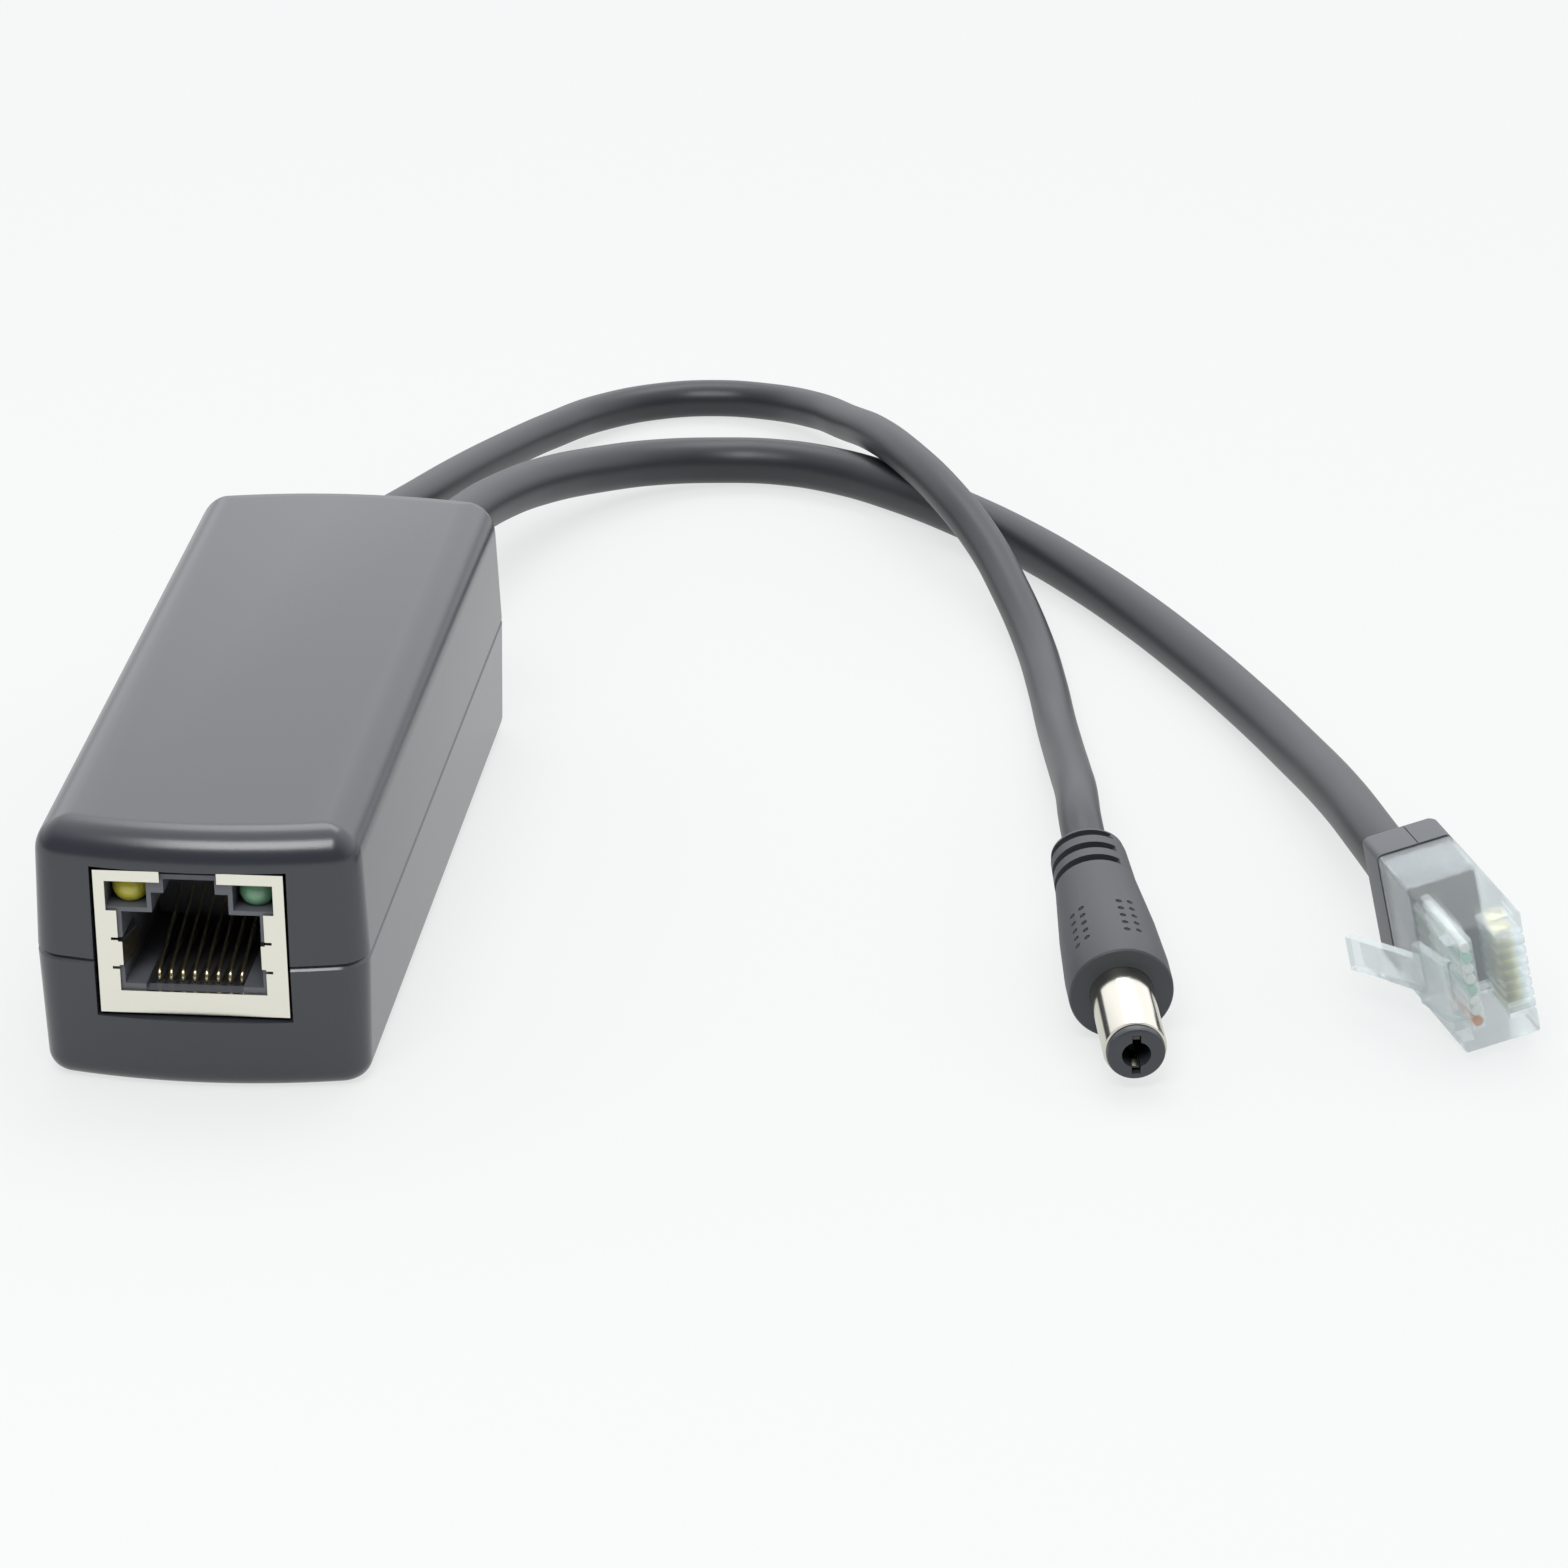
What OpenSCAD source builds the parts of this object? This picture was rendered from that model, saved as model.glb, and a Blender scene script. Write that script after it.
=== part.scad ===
// Splitter that takes power off a network line. A two-shell housing holds a
// circuit board with a network jack in front. Two short cords leave the back,
// one with a barrel plug for power and one with a network plug for data.
// Millimetres, +Z up, origin at the middle of the housing's underside.
// The jack looks towards -Y and the cords leave towards +Y.

/* [Housing] */
// Length of the housing between its corners
body_l = 76.2; // [72:0.1:90]
// Width of the housing at the parting line
body_w = 28.7; // [27:0.1:36]
// Height of the housing
body_h = 23.7; // [22:0.1:30]
// How far each end face bows outward
end_bow = 1.9; // [1:0.1:3]
// How far the parting line lies below the housing's mid-height
part_drop = 0.25; // [0:0.05:0.6]
// How much each side leans in towards the top and the bottom
side_draft = 0.3; // [0.2:0.1:0.8]
// Radius of the upright corners
corner_r = 3; // [2:0.1:4.5]
// Radius of the edges round the top
top_r = 3.2; // [1:0.1:3.5]
// Radius of the edges round the bottom
bottom_r = 1.8; // [1:0.1:3.5]
// Wall of the shells
wall = 2; // [1.6:0.1:2.4]
// Depth and height of the groove where the shells meet
seam = 0.25; // [0.1:0.05:0.4]
// Height of the lip that locates the upper shell
lip_h = 1.2; // [0.6:0.1:1.6]

/* [Circuit board] */
// Gap between the board and the housing's sides
board_gap = 1.05; // [0.8:0.05:1.3]
// Thickness of the board
board_t = 1.6; // [1:0.1:2]
// Diameter of the posts
post_d = 3; // [2:0.1:3.4]

/* [Network jack] */
// Width of the jack's shield
jack_w = 16.3; // [16:0.1:16.6]
// Height of the jack's shield
jack_h = 13.3; // [13:0.1:13.5]
// Depth of the jack from its face
jack_depth = 21.3; // [20.5:0.1:21.5]
// Thickness of the shield's sheet
sheet = 0.25; // [0.2:0.05:0.3]
// How far the jack's face lies behind the housing's
jack_recess = 1; // [0.7:0.1:1.4]
// How far the jack lies to the left of the housing's middle
jack_left = 0.4; // [0:0.1:0.6]
// Gap round the jack in the housing's cut-out
jack_gap = 0.3; // [0.2:0.05:0.5]
// Width of the hole that takes a plug
port_w = 11.9; // [11.8:0.05:12.1]
// Diameter of the two lamps
lamp_d = 2.5; // [2.2:0.1:2.5]

/* [Cords] */
// Diameter of the power cord
dc_cord_d = 3.9; // [3.2:0.1:3.9]
// Diameter of the data cord
data_cord_d = 4.8; // [4:0.1:4.8]
// Gap round each cord in the housing
cord_gap = 0.2; // [0.1:0.05:0.4]
// Width of the tie that holds each cord
tie_w = 2.5; // [2:0.1:3]
// Thickness of the ties
tie_t = 1.1; // [0.8:0.1:1.3]

/* [Power plug] */
// Diameter of the barrel
barrel_d = 5.5; // [5.3:0.1:5.7]
// Diameter of the hole for the pin
pin_hole_d = 2.5; // [2.1:0.1:2.6]
// Length of the barrel outside the grip
barrel_l = 9.5; // [9:0.1:12]
// Wall of the barrel
barrel_wall = 0.4; // [0.3:0.05:0.5]
// Length of the grip
grip_l = 24; // [22:0.5:28]
// Diameter of the grip at its front
grip_d = 9.1; // [8.5:0.1:9.1]
// Width of the grip's neck
neck_w = 6.8; // [6:0.1:7.4]
// Thickness of the grip's neck
neck_t = 5.6; // [5:0.1:6.4]
// Width of the flex slots in the neck
flex_slot = 0.5; // [0.3:0.05:0.7]

/* [Network plug] */
// Width of the plug
plug_w = 11.68; // [11.6:0.02:11.7]
// Height of the plug's rear block
plug_h = 7; // [6.8:0.1:7]
// Length of the clear body
plug_l = 17.4; // [17.2:0.1:18.4]
// How far the contact side steps down towards the nose
plug_step = 1.2; // [0.8:0.1:1.3]
// Wall of the clear body
plug_wall = 0.7; // [0.6:0.05:0.8]
// Length of the boot behind the clear body
boot_l = 4.6; // [4:0.1:5.5]
// Thickness of the latch
latch_t = 0.8; // [0.6:0.05:0.9]

/* [Hidden] */
$fn = 48;
clear = 0.1;
fit = 0.02;
cut = 0.5;

// Housing
half_l = body_l / 2;
// Radius of the bowed ends, from their chord and rise
end_r = (pow(body_w / 2, 2) + pow(end_bow, 2)) / (2 * end_bow);
end_y = half_l + end_bow;
part_z = body_h / 2 - part_drop;
floor_z = wall;
ceiling_z = body_h - wall;
lip_t = wall * 0.4;
corner_steps = 6;
bow_steps = 8;
edge_steps = 6;

// Board. The jack and the board take most of the height between the shells,
// and the posts under the board two thirds of what is left.
board_w = body_w - 2 * (wall + side_draft + board_gap);
post_h = (body_h - 2 * wall - board_t - jack_h) * 2 / 3;
board_z = floor_z + post_h;
board_top = board_z + board_t;
board_front = -half_l + 2.2;
board_back = half_l - 13.1;
post_x = board_w / 2 - post_d / 2 - 0.3;
post_front_y = board_front + 2.2;
post_back_y = board_back - 1.9;

// Jack
jack_x = -jack_left;
jack_y = -end_y + jack_recess;
jack_z = board_top;
bar_low = 2.05;
port_floor = 2.6;
ledge_z = 9.35;
window_low = 9.75;
window_top = jack_h - 1;
window_in = 3.7;
window_out = jack_w / 2 - 0.95;
port_depth = 14.5;
contact_pitch = 1.02;
contact_count = 8;
contact_w = 0.4;
contact_t = 0.3;
tray_w = contact_count * contact_pitch + 0.2;
pin_below = post_h * 0.45;
lamp_x = (window_in + window_out) / 2;
lamp_z = (window_low + window_top) / 2;
lamp_depth = 5.5;

// The pieces on the board are drawn for this much room, across the board, from
// the jack's back to the board's, and from the board to the ceiling. Their
// places and sizes take the same share of the room that the housing gives.
drawn_w = 22;
drawn_l = 42.7;
drawn_h = 14.9;
wide = board_w / drawn_w;
long = (board_back - jack_y - jack_depth) / drawn_l;
tall = (ceiling_z - board_top) / drawn_h;
small = min(wide, long);
// A place on the board, across it and forward of its back edge
function spot(x, y) = [wide * x, board_back - long * y];

// Cords. The points of each route were laid out by hand: straight out of the
// housing, down to the table, and along it to the plug. The power cord passes
// over the data cord in a low hump. A route moves with the housing's rear, and
// its way down to the table follows the parting line's height.
dc_r = dc_cord_d / 2;
data_r = data_cord_d / 2;
laid_rear = 40;
laid_z = 11.6;
laid_low = 2;
down_points = 9;
function laid(points) = [for (i = [0 : len(points) - 1]) let (
    p = points[i],
    share = i <= down_points ? (part_z - laid_low) / (laid_z - laid_low) : 1)
    [p[0], p[1] + end_y - laid_rear, laid_low + share * (p[2] - laid_low)]];
dc_route = laid([[-5, 30, 11.6], [-5, 39, 11.6], [-5, 47, 11.5], [-4, 57, 10.5], [-2.5, 66, 9.2],
    [-0.5, 75.2, 7.8], [2, 86, 6.2], [5, 96.7, 4.6], [8.5, 106.6, 3.2], [12.5, 114.2, 2.3],
    [18, 118.6, 2], [24, 120, 2], [30, 118.8, 2.2], [35.5, 114.1, 3.2], [39.5, 107.4, 4.6],
    [43.5, 99.3, 6.5], [48, 90.3, 7.4], [52.5, 81.9, 7], [56.8, 74, 5.4], [60.3, 65.5, 3.6],
    [63.3, 56, 2.2], [65.3, 46.5, 2], [66.9, 37, 2.3], [68.3, 28, 3.6], [69.6, 19, 5.5],
    [70.8, 10.5, 7.2], [71.6, 4, 7.7], [72.5, -1, 7.2]]);
data_route = laid([[4, 30, 11.6], [4, 39, 11.6], [4, 47.5, 11.5], [4.6, 57, 10.7], [5.8, 66.7, 9.4],
    [7.8, 76.4, 7.8], [11, 85.6, 6], [15.3, 92.8, 4.4], [20.5, 97.9, 3.3], [26.5, 100.7, 2.6],
    [33, 100.9, 2.5], [39.4, 98.8, 2.5], [46, 94.5, 2.5], [53.7, 87.7, 2.5], [60.5, 80.4, 2.5],
    [66.5, 72.7, 2.5], [72.5, 63.9, 2.5], [78.5, 53.9, 2.5], [84.4, 42.6, 2.7], [89.8, 30.2, 3.4],
    [94.3, 17.3, 4.9], [97.7, 6, 6], [101, -4, 6.3]]);
dc_sides = 8;
data_sides = 10;
// Gap between each cord's end and its plug
cord_end_gap = 0.15;
dc_x = dc_route[0][0];
data_x = data_route[0][0];
cord_in_y = dc_route[0][1];
tie_y = end_y - wall - 1.2 - tie_w;
rib_y = tie_y - 0.2;
rib_t = 1.2;

// Power plug, turned to its cord's end
dc_plug_yaw = 11.5;
dc_plug_pitch = -6.3;
dc_plug_at = dc_route[len(dc_route) - 1];
neck_len = 15;
insulator_out = 0.8;
// Rounding of the barrel's tip
tip_edge = 0.25;
barrel_in = 4;
// How much wider the barrel's root is, where the grip is moulded round it
barrel_flare = 0.5;

// Network plug, turned to its cord's end and leaning on its latch side
data_plug_yaw = 21.1;
data_plug_pitch = 1.7;
data_plug_roll = 10.6;
data_plug_at = data_route[len(data_route) - 1];
plug_block_l = 7.6;
blade_t = 0.35;
blade_front = plug_l - 1.2;
blade_l = 5;

// Functions

// One bowed end of the housing's outline, from its right side to its left,
// for an outline that lies inset inside the parting line's
function end_outline(inset) = let (
    w = body_w / 2 - inset,
    r = end_r - inset,
    c = max(corner_r - inset, 0.4),
    yc = end_y - end_r,
    fx = w - c,
    fy = yc + sqrt(pow(r - c, 2) - pow(fx, 2)),
    turn = atan2(fy - yc, fx))
    concat(
        [for (i = [0 : corner_steps]) let (a = turn * i / corner_steps) [fx + c * cos(a), fy + c * sin(a)]],
        [for (i = [1 : bow_steps - 1]) let (a = turn + (180 - 2 * turn) * i / bow_steps) [r * cos(a), yc + r * sin(a)]],
        [for (i = [0 : corner_steps]) let (a = turn * (corner_steps - i) / corner_steps) [-fx - c * cos(a), fy + c * sin(a)]]);

function outline(inset) = concat(end_outline(inset), [for (p = end_outline(inset)) -p]);

function at_height(points, z) = [for (p = points) [p[0], p[1], z]];

// Heights and insets of the outlines from the parting line to a rounded edge
function edge_levels(z_edge, radius, up) = [for (i = [0 : edge_steps]) let (a = 90 * i / edge_steps)
    [z_edge - up * radius * (1 - sin(a)), side_draft + radius * (1 - cos(a))]];

function unit(v) = v / norm(v);

// The direction of a route's stretch that starts at its point i
function stretch(route, i) = let (k = max(0, min(i, len(route) - 2))) unit(route[k + 1] - route[k]);

// The direction of a route at its point i
function heading(route, i) = unit(stretch(route, i - 1) + stretch(route, i));

// A ring of points round a route's point i
function cord_ring(route, i, r, sides) = let (
    t = heading(route, i),
    side = unit(cross(t, [0, 0, 1])),
    up = cross(side, t),
    at = route[i] - (i == len(route) - 1 ? cord_end_gap : 0) * t)
    [for (k = [0 : sides - 1]) let (a = 360 * (k + 0.5) / sides) at + r * (cos(a) * side + sin(a) * up)];

// An oval ring of points at a height
function oval(w, h, z, sides) = [for (k = [0 : sides - 1]) let (a = 360 * k / sides)
    [w / 2 * cos(a), h / 2 * sin(a), z]];

// The outline of a strip of thickness t that follows a path
function left_of(path, i, t) = let (
    a = unit(path[max(i, 1)] - path[max(i, 1) - 1]),
    b = unit(path[min(i + 1, len(path) - 1)] - path[min(i + 1, len(path) - 1) - 1]),
    n = unit(a + b))
    path[i] + [-n[1], n[0]] * t / 2 / (n * a);
function strip(path, t) = concat([for (i = [0 : len(path) - 1]) left_of(path, i, t)],
    [for (i = [len(path) - 1 : -1 : 0]) 2 * path[i] - left_of(path, i, t)]);

// Shapes that several pieces share

// A solid skinned over rings of points, from the lowest ring to the highest
module skin(rings) {
    n = len(rings[0]);
    last = len(rings) - 1;
    sides = [for (j = [0 : last - 1], i = [0 : n - 1]) let (a = j * n + i, b = j * n + (i + 1) % n)
        each [[a, b + n, b], [a, a + n, b + n]]];
    low = [for (i = [1 : n - 2]) [0, i, i + 1]];
    high = [for (i = [1 : n - 2]) [last * n, last * n + i + 1, last * n + i]];
    polyhedron([for (ring = rings) each ring], concat(sides, low, high));
}

// A round bar from one point to another
module bar(from, to, r) {
    v = to - from;
    translate(from)
        rotate([0, acos(v[2] / norm(v)), atan2(v[1], v[0])])
            cylinder(r = r, h = norm(v));
}

// A block centred in x and y that stands on z
module block(size, at) {
    translate([at[0] - size[0] / 2, at[1] - size[1] / 2, at[2]])
        cube(size);
}

// A profile drawn in depth and height, extruded across x
module across(w) {
    translate([-w / 2, 0, 0])
        rotate([90, 0, 90])
            linear_extrude(w)
                children();
}

// A profile drawn in x and height, extruded along +y
module along(l) {
    translate([0, l, 0])
        rotate([90, 0, 0])
            linear_extrude(l)
                children();
}

// A cylinder that lies along +y
module lying(r, l, at) {
    translate(at)
        rotate([-90, 0, 0])
            cylinder(r = r, h = l);
}

// Housing

// The two cords' ways through the rear wall
module cord_holes() {
    lying(dc_r + cord_gap, end_y, [dc_x, rib_y - rib_t - cut, part_z]);
    lying(data_r + cord_gap, end_y, [data_x, rib_y - rib_t - cut, part_z]);
}

// The jack's way through the front wall
module jack_hole() {
    w = jack_w + 2 * jack_gap;
    translate([jack_x - w / 2, -end_y - cut, jack_z - jack_gap])
        cube([w, wall + end_bow + 2 * cut, jack_h + 2 * jack_gap]);
}

// The rib that traps the cords' ties, between two heights
module tie_rib(low, high) {
    w = body_w - 2 * wall - 2 * side_draft - 1;
    translate([-w / 2, rib_y - rib_t, low])
        cube([w, rib_t, high - low]);
}

module upper_shell() color("#3f4146") {
    levels = concat([[part_z, seam], [part_z + seam, 0]], edge_levels(body_h, top_r, 1));
    difference() {
        union() {
            difference() {
                skin([for (e = levels) at_height(outline(e[1]), e[0])]);
                translate([0, 0, part_z - cut])
                    linear_extrude(ceiling_z - part_z + cut)
                        polygon(outline(wall + side_draft));
                translate([0, 0, part_z - cut])
                    linear_extrude(lip_h + clear + cut)
                        polygon(outline(wall - lip_t - clear));
            }
            tie_rib(part_z + clear / 2, ceiling_z + cut);
            for (side = [-1, 1])
                translate([side * post_x, post_back_y, board_top + clear / 2])
                    cylinder(d = post_d * small, h = ceiling_z + cut - board_top - clear / 2);
        }
        jack_hole();
        cord_holes();
    }
}

module lower_shell() color("#3f4146") {
    edge = edge_levels(0, bottom_r, -1);
    levels = concat([for (i = [edge_steps : -1 : 0]) edge[i]], [[part_z - seam, 0], [part_z, seam]]);
    difference() {
        union() {
            difference() {
                skin([for (e = levels) at_height(outline(e[1]), e[0])]);
                translate([0, 0, floor_z])
                    linear_extrude(part_z)
                        polygon(outline(wall + side_draft));
            }
            translate([0, 0, part_z - cut])
                linear_extrude(lip_h + cut)
                    difference() {
                        polygon(outline(wall - lip_t));
                        polygon(outline(wall + side_draft));
                    }
            tie_rib(floor_z - cut, part_z - clear / 2);
            for (side = [-1, 1], y = [post_front_y, post_back_y])
                translate([side * post_x, y, floor_z - cut])
                    cylinder(d = post_d * small, h = post_h + cut);
        }
        jack_hole();
        cord_holes();
    }
}

// The circuit board

// Places of the pins that pass through the board
dc_pads = [for (i = [0, 1]) spot(-6.3 + 2.6 * i, 1.6)];
data_pads = [for (i = [0 : contact_count - 1]) spot(i, 1.6)];
jack_pins = [for (i = [0 : contact_count - 1]) [jack_x + (i - 3.5) * contact_pitch, jack_y + 16.5]];
shield_legs = [for (s = [-1, 1]) [jack_x + s * (jack_w - sheet) / 2, jack_y + 12]];
trafo_at = spot(-4, 22);
trafo_pins = [for (s = [-1, 1], i = [0 : 3]) trafo_at + [(i - 1.5) * 2.8 * wide, s * 5 * long]];
input_cap_at = spot(7, 24);
output_cap_at = [spot(-7.3, 11.7), spot(-0.3, 11.7)];
choke_at = spot(7.1, 10.55);
safety_at = spot(7.3, 5.9);
input_cap_d = 8 * small;
output_cap_d = 6.3 * small;
// A pair of pins across a place on the board
function pair(at, gap) = [for (s = [-1, 1]) at + [s * gap / 2 * small, 0]];
input_cap_pins = pair(input_cap_at, 3.5);
output_cap_pins = [for (at = output_cap_at) pair(at, 2.5)];
choke_pins = pair(choke_at, 5);
safety_pins = pair(safety_at, 5);
cap_pins = concat(input_cap_pins, output_cap_pins[0], output_cap_pins[1], choke_pins, safety_pins);
pin_r = 0.3;

// Round pins from a height down through the board
module pins(places, high) {
    for (p = places)
        translate([p[0], p[1], board_z - pin_below])
            cylinder(r = pin_r, h = high - board_z + pin_below);
}

module circuit_board() color("#2f6b46") {
    difference() {
        translate([-board_w / 2, board_front, board_z])
            cube([board_w, board_back - board_front, board_t]);
        for (p = concat(jack_pins, trafo_pins, cap_pins))
            translate([p[0], p[1], board_z - cut])
                cylinder(r = pin_r + clear, h = board_t + 2 * cut);
        for (p = shield_legs)
            block([1, 1.8, board_t + 2 * cut], [p[0], p[1], board_z - cut]);
    }
}

// The network jack

// The hole that takes a plug: wide for its body and stepped for its latch
module port_profile() {
    tray = tray_w / 2;
    right = [[tray, bar_low], [tray, port_floor], [port_w / 2, port_floor], [port_w / 2, ledge_z],
        [3.3, ledge_z], [3.3, 11.2], [2.2, 11.2], [2.2, window_top + 0.2]];
    polygon(concat(right, [for (i = [len(right) - 1 : -1 : 0]) [-right[i][0], right[i][1]]]));
}

// The opening in the shield's face, with a gap at the top and two lamp windows
module face_profile() {
    half = port_w / 2 + 0.35;
    step = ledge_z + 0.2;
    polygon([[-half, bar_low], [half, bar_low], [half, step], [window_out, step],
        [window_out, window_top], [2.45, window_top], [2.45, jack_h + cut], [-2.45, jack_h + cut],
        [-2.45, window_top], [-window_out, window_top], [-window_out, step], [-half, step]]);
    // Slits beside the side springs
    for (s = [-1, 1], z = [4.2, 6.9])
        translate([s * (half + 0.2), z])
            square([0.8, 0.25], center = true);
}

module jack_shield() color("#c9c4b4") translate([jack_x, jack_y, jack_z]) {
    side_in = jack_w / 2 - sheet;
    difference() {
        translate([-jack_w / 2, 0, 0])
            cube([jack_w, jack_depth, jack_h]);
        translate([-side_in, sheet, -cut])
            cube([2 * side_in, jack_depth - 2 * sheet, jack_h - sheet + cut]);
        translate([0, -cut, 0])
            along(sheet + cut + 0.6)
                intersection() {
                    face_profile();
                    translate([-jack_w, window_top])
                        square([2 * jack_w, jack_h]);
                }
        translate([0, -cut, 0])
            along(sheet + 2 * cut)
                face_profile();
    }
    // Legs soldered into the board
    for (s = [-1, 1])
        block([sheet, 1.2, board_t + pin_below + 0.2], [s * (jack_w - sheet) / 2, 12, -board_t - pin_below]);
    // Springs in the sides that touch a shielded plug
    for (s = [-1, 1])
        mirror([s < 0 ? 1 : 0, 0, 0])
            translate([0, 0, 4.45])
                linear_extrude(2.2)
                    polygon(strip([[port_w / 2 + 0.35 + sheet, sheet / 2], [port_w / 2 + 0.1, sheet / 2], [port_w / 2 - 0.6, 3.4],
                        [port_w / 2 - 0.1, 4.6]], sheet));
}

module jack_housing() color("#17181b") translate([jack_x, jack_y, jack_z]) {
    half = jack_w / 2 - sheet - clear;
    difference() {
        translate([-half, sheet + clear, 0])
            cube([2 * half, jack_depth - 2 * sheet - 2 * clear, jack_h - sheet - clear]);
        along(port_depth)
            port_profile();
        // Pockets for the lamps, open in front
        for (s = [-1, 1])
            translate([s * lamp_x, 0, 0])
                block([window_out - window_in, 2 * lamp_depth, window_top - window_low], [0, sheet, window_low]);
        // Room for the side springs
        translate([-half - cut, sheet, 4.2])
            cube([2 * half + 2 * cut, 5, 2.7]);
        // The tray under the contacts, and the slot where their pins go down
        block([tray_w, 15.5, 1.6], [0, 9.35, 0.9]);
        block([tray_w, 1.2, 1.4 + cut], [0, 16.5, -cut]);
    }
}

module jack_contacts() color("#d8b45a") translate([jack_x, jack_y, jack_z]) {
    path = [[16.5, -board_t - pin_below], [16.5, 1.3], [3.2, 1.5], [1.9, 2.2], [2, 2.85], [2.8, 3.1], [12.6, 6.1]];
    for (i = [0 : contact_count - 1])
        translate([(i - 3.5) * contact_pitch, 0, 0])
            across(contact_w)
                polygon(strip(path, contact_t));
}

// A round lamp that looks out of its window
module lamp(side) {
    r = lamp_d / 2;
    translate([jack_x + side * lamp_x, jack_y + sheet + 1.2, jack_z + lamp_z])
        rotate([-90, 0, 0])
            rotate_extrude()
                intersection() {
                    union() {
                        translate([0, r])
                            circle(r);
                        translate([0, r])
                            square([r, lamp_depth - 1.4 - r]);
                    }
                    square([r, lamp_depth]);
                }
}

module jack_lamp_yellow() color("#c9c23a") lamp(-1);

module jack_lamp_green() color("#6fa57c") lamp(1);

// Pieces on the board

// A flat chip with gull-wing legs along two sides, drawn size [x, y, z]
module chip(drawn, at, legs, pitch) {
    size = [drawn[0] * wide, drawn[1] * long, drawn[2] * tall];
    z = board_top + 0.15;
    edge = size[1] / 2;
    translate([at[0], at[1], 0]) {
        block(size, [0, 0, z]);
        for (s = [-1, 1], i = [0 : legs - 1])
            translate([(i - (legs - 1) / 2) * pitch * wide, 0, 0])
                mirror([0, s < 0 ? 1 : 0, 0])
                    across(pitch * wide * 0.35)
                        polygon(strip([[edge - 0.2, z + size[2] * 0.45], [edge + 0.35 * long, z + size[2] * 0.45],
                            [edge + 0.5 * long, board_top + 0.15], [edge + long, board_top + 0.15]], 0.2 * small));
    }
}

module data_transformer() color("#1d1e20") chip([12.7, 7.2, 5.6], spot(-4, 34.8), 8, 1.5);

module bridge_rectifier_1() color("#222326") chip([4.7, 3.8, 2.4], spot(7, 37.3), 2, 2.5);

module bridge_rectifier_2() color("#222326") chip([4.7, 3.8, 2.4], spot(7, 31.2), 2, 2.5);

module controller_chip() color("#1f2022") chip([4.9, 3.9, 1.4], spot(7.2, 16.9), 4, 1.27);

module optocoupler() color("#ececea") chip([4.6, 3.6, 2], spot(1, 5.8), 2, 2.54);

module rectifier_diode() color("#252527") {
    at = spot(-6.8, 5.7);
    block([6.8 * wide, 3.8 * long, 2.2 * tall], [at[0], at[1], board_top + 0.1]);
    for (s = [-1, 1])
        block([0.6 * wide, 3 * long, 1.2 * tall], [at[0] + s * 3.5 * wide, at[1], board_top]);
}

// The power transformer's core, with a window each side of its middle leg
core_size = [13.1 * wide, 6.1 * long, 12.4 * tall];
core_leg = 2.9 * wide;
core_yoke = 2 * tall;
core_z = board_top + 1.2 * tall;
window_w = 3.4 * wide;
tube_wall = 0.5 * small;
flange_t = 0.7 * tall;
foot_l = 2.4 * long;
winding_t = 1.8 * small;

module transformer_core() color("#3a3a3c") translate([trafo_at[0], trafo_at[1], core_z])
    difference() {
        block(core_size, [0, 0, 0]);
        for (s = [-1, 1])
            block([window_w, core_size[1] + 2 * cut, core_size[2] - 2 * core_yoke],
                [s * (core_leg + window_w) / 2, 0, core_yoke]);
    }

module transformer_bobbin() color("#26262a") {
    window_h = core_size[2] - 2 * core_yoke - 2 * clear;
    flange = [core_leg + 2 * window_w - 0.6, core_size[1] + 6 * long, flange_t];
    tube = [core_leg + 2 * tube_wall + 2 * clear, core_size[1] + 2 * tube_wall + 2 * clear];
    translate([trafo_at[0], trafo_at[1], 0]) {
        difference() {
            union() {
                block([tube[0], tube[1], window_h], [0, 0, core_z + core_yoke + clear]);
                block(flange, [0, 0, core_z + core_yoke + clear]);
                block(flange, [0, 0, core_z + core_yoke + clear + window_h - flange_t]);
            }
            block([core_leg + 2 * clear, core_size[1] + 2 * clear, core_size[2]], [0, 0, core_z + core_yoke - cut]);
        }
        for (s = [-1, 1])
            block([11.6 * wide, foot_l, core_z + core_yoke + clear + 0.2 - board_top],
                [0, s * (core_size[1] / 2 + 2 * clear + foot_l / 2), board_top]);
    }
    pins(trafo_pins, board_top + 1);
}

module transformer_winding() color("#d9c64a") {
    z = core_z + core_yoke + clear + flange_t + clear / 2;
    h = core_size[2] - 2 * core_yoke - 2 * clear - 2 * flange_t - clear;
    inner = [core_leg + 2 * tube_wall + 4 * clear, core_size[1] + 2 * tube_wall + 4 * clear];
    translate([trafo_at[0], trafo_at[1], 0])
        difference() {
            block([inner[0] + 2 * winding_t, inner[1] + 2 * winding_t, h], [0, 0, z]);
            block([inner[0], inner[1], h + 2 * cut], [0, 0, z - cut]);
        }
}

// A round capacitor on two legs, with a crimped groove above its base
module can(d, h, at) {
    translate([at[0], at[1], board_top + 0.1])
        rotate_extrude()
            polygon([[0, 0], [d / 2 - 0.3, 0], [d / 2, 0.3], [d / 2, 1.1], [d / 2 - 0.35, 1.4],
                [d / 2, 1.7], [d / 2, h - 0.3], [d / 2 - 0.3, h], [d / 2 - 0.8, h], [d / 2 - 0.9, h - 0.15], [0, h - 0.15]]);
}

module input_capacitor() color("#26324f") {
    can(input_cap_d, 11.5 * tall, input_cap_at);
    pins(input_cap_pins, board_top + 0.5);
}

module output_can(i) {
    can(output_cap_d, 11 * tall, output_cap_at[i]);
    pins(output_cap_pins[i], board_top + 0.5);
}

module output_capacitor_1() color("#26324f") output_can(0);

module output_capacitor_2() color("#26324f") output_can(1);

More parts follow.
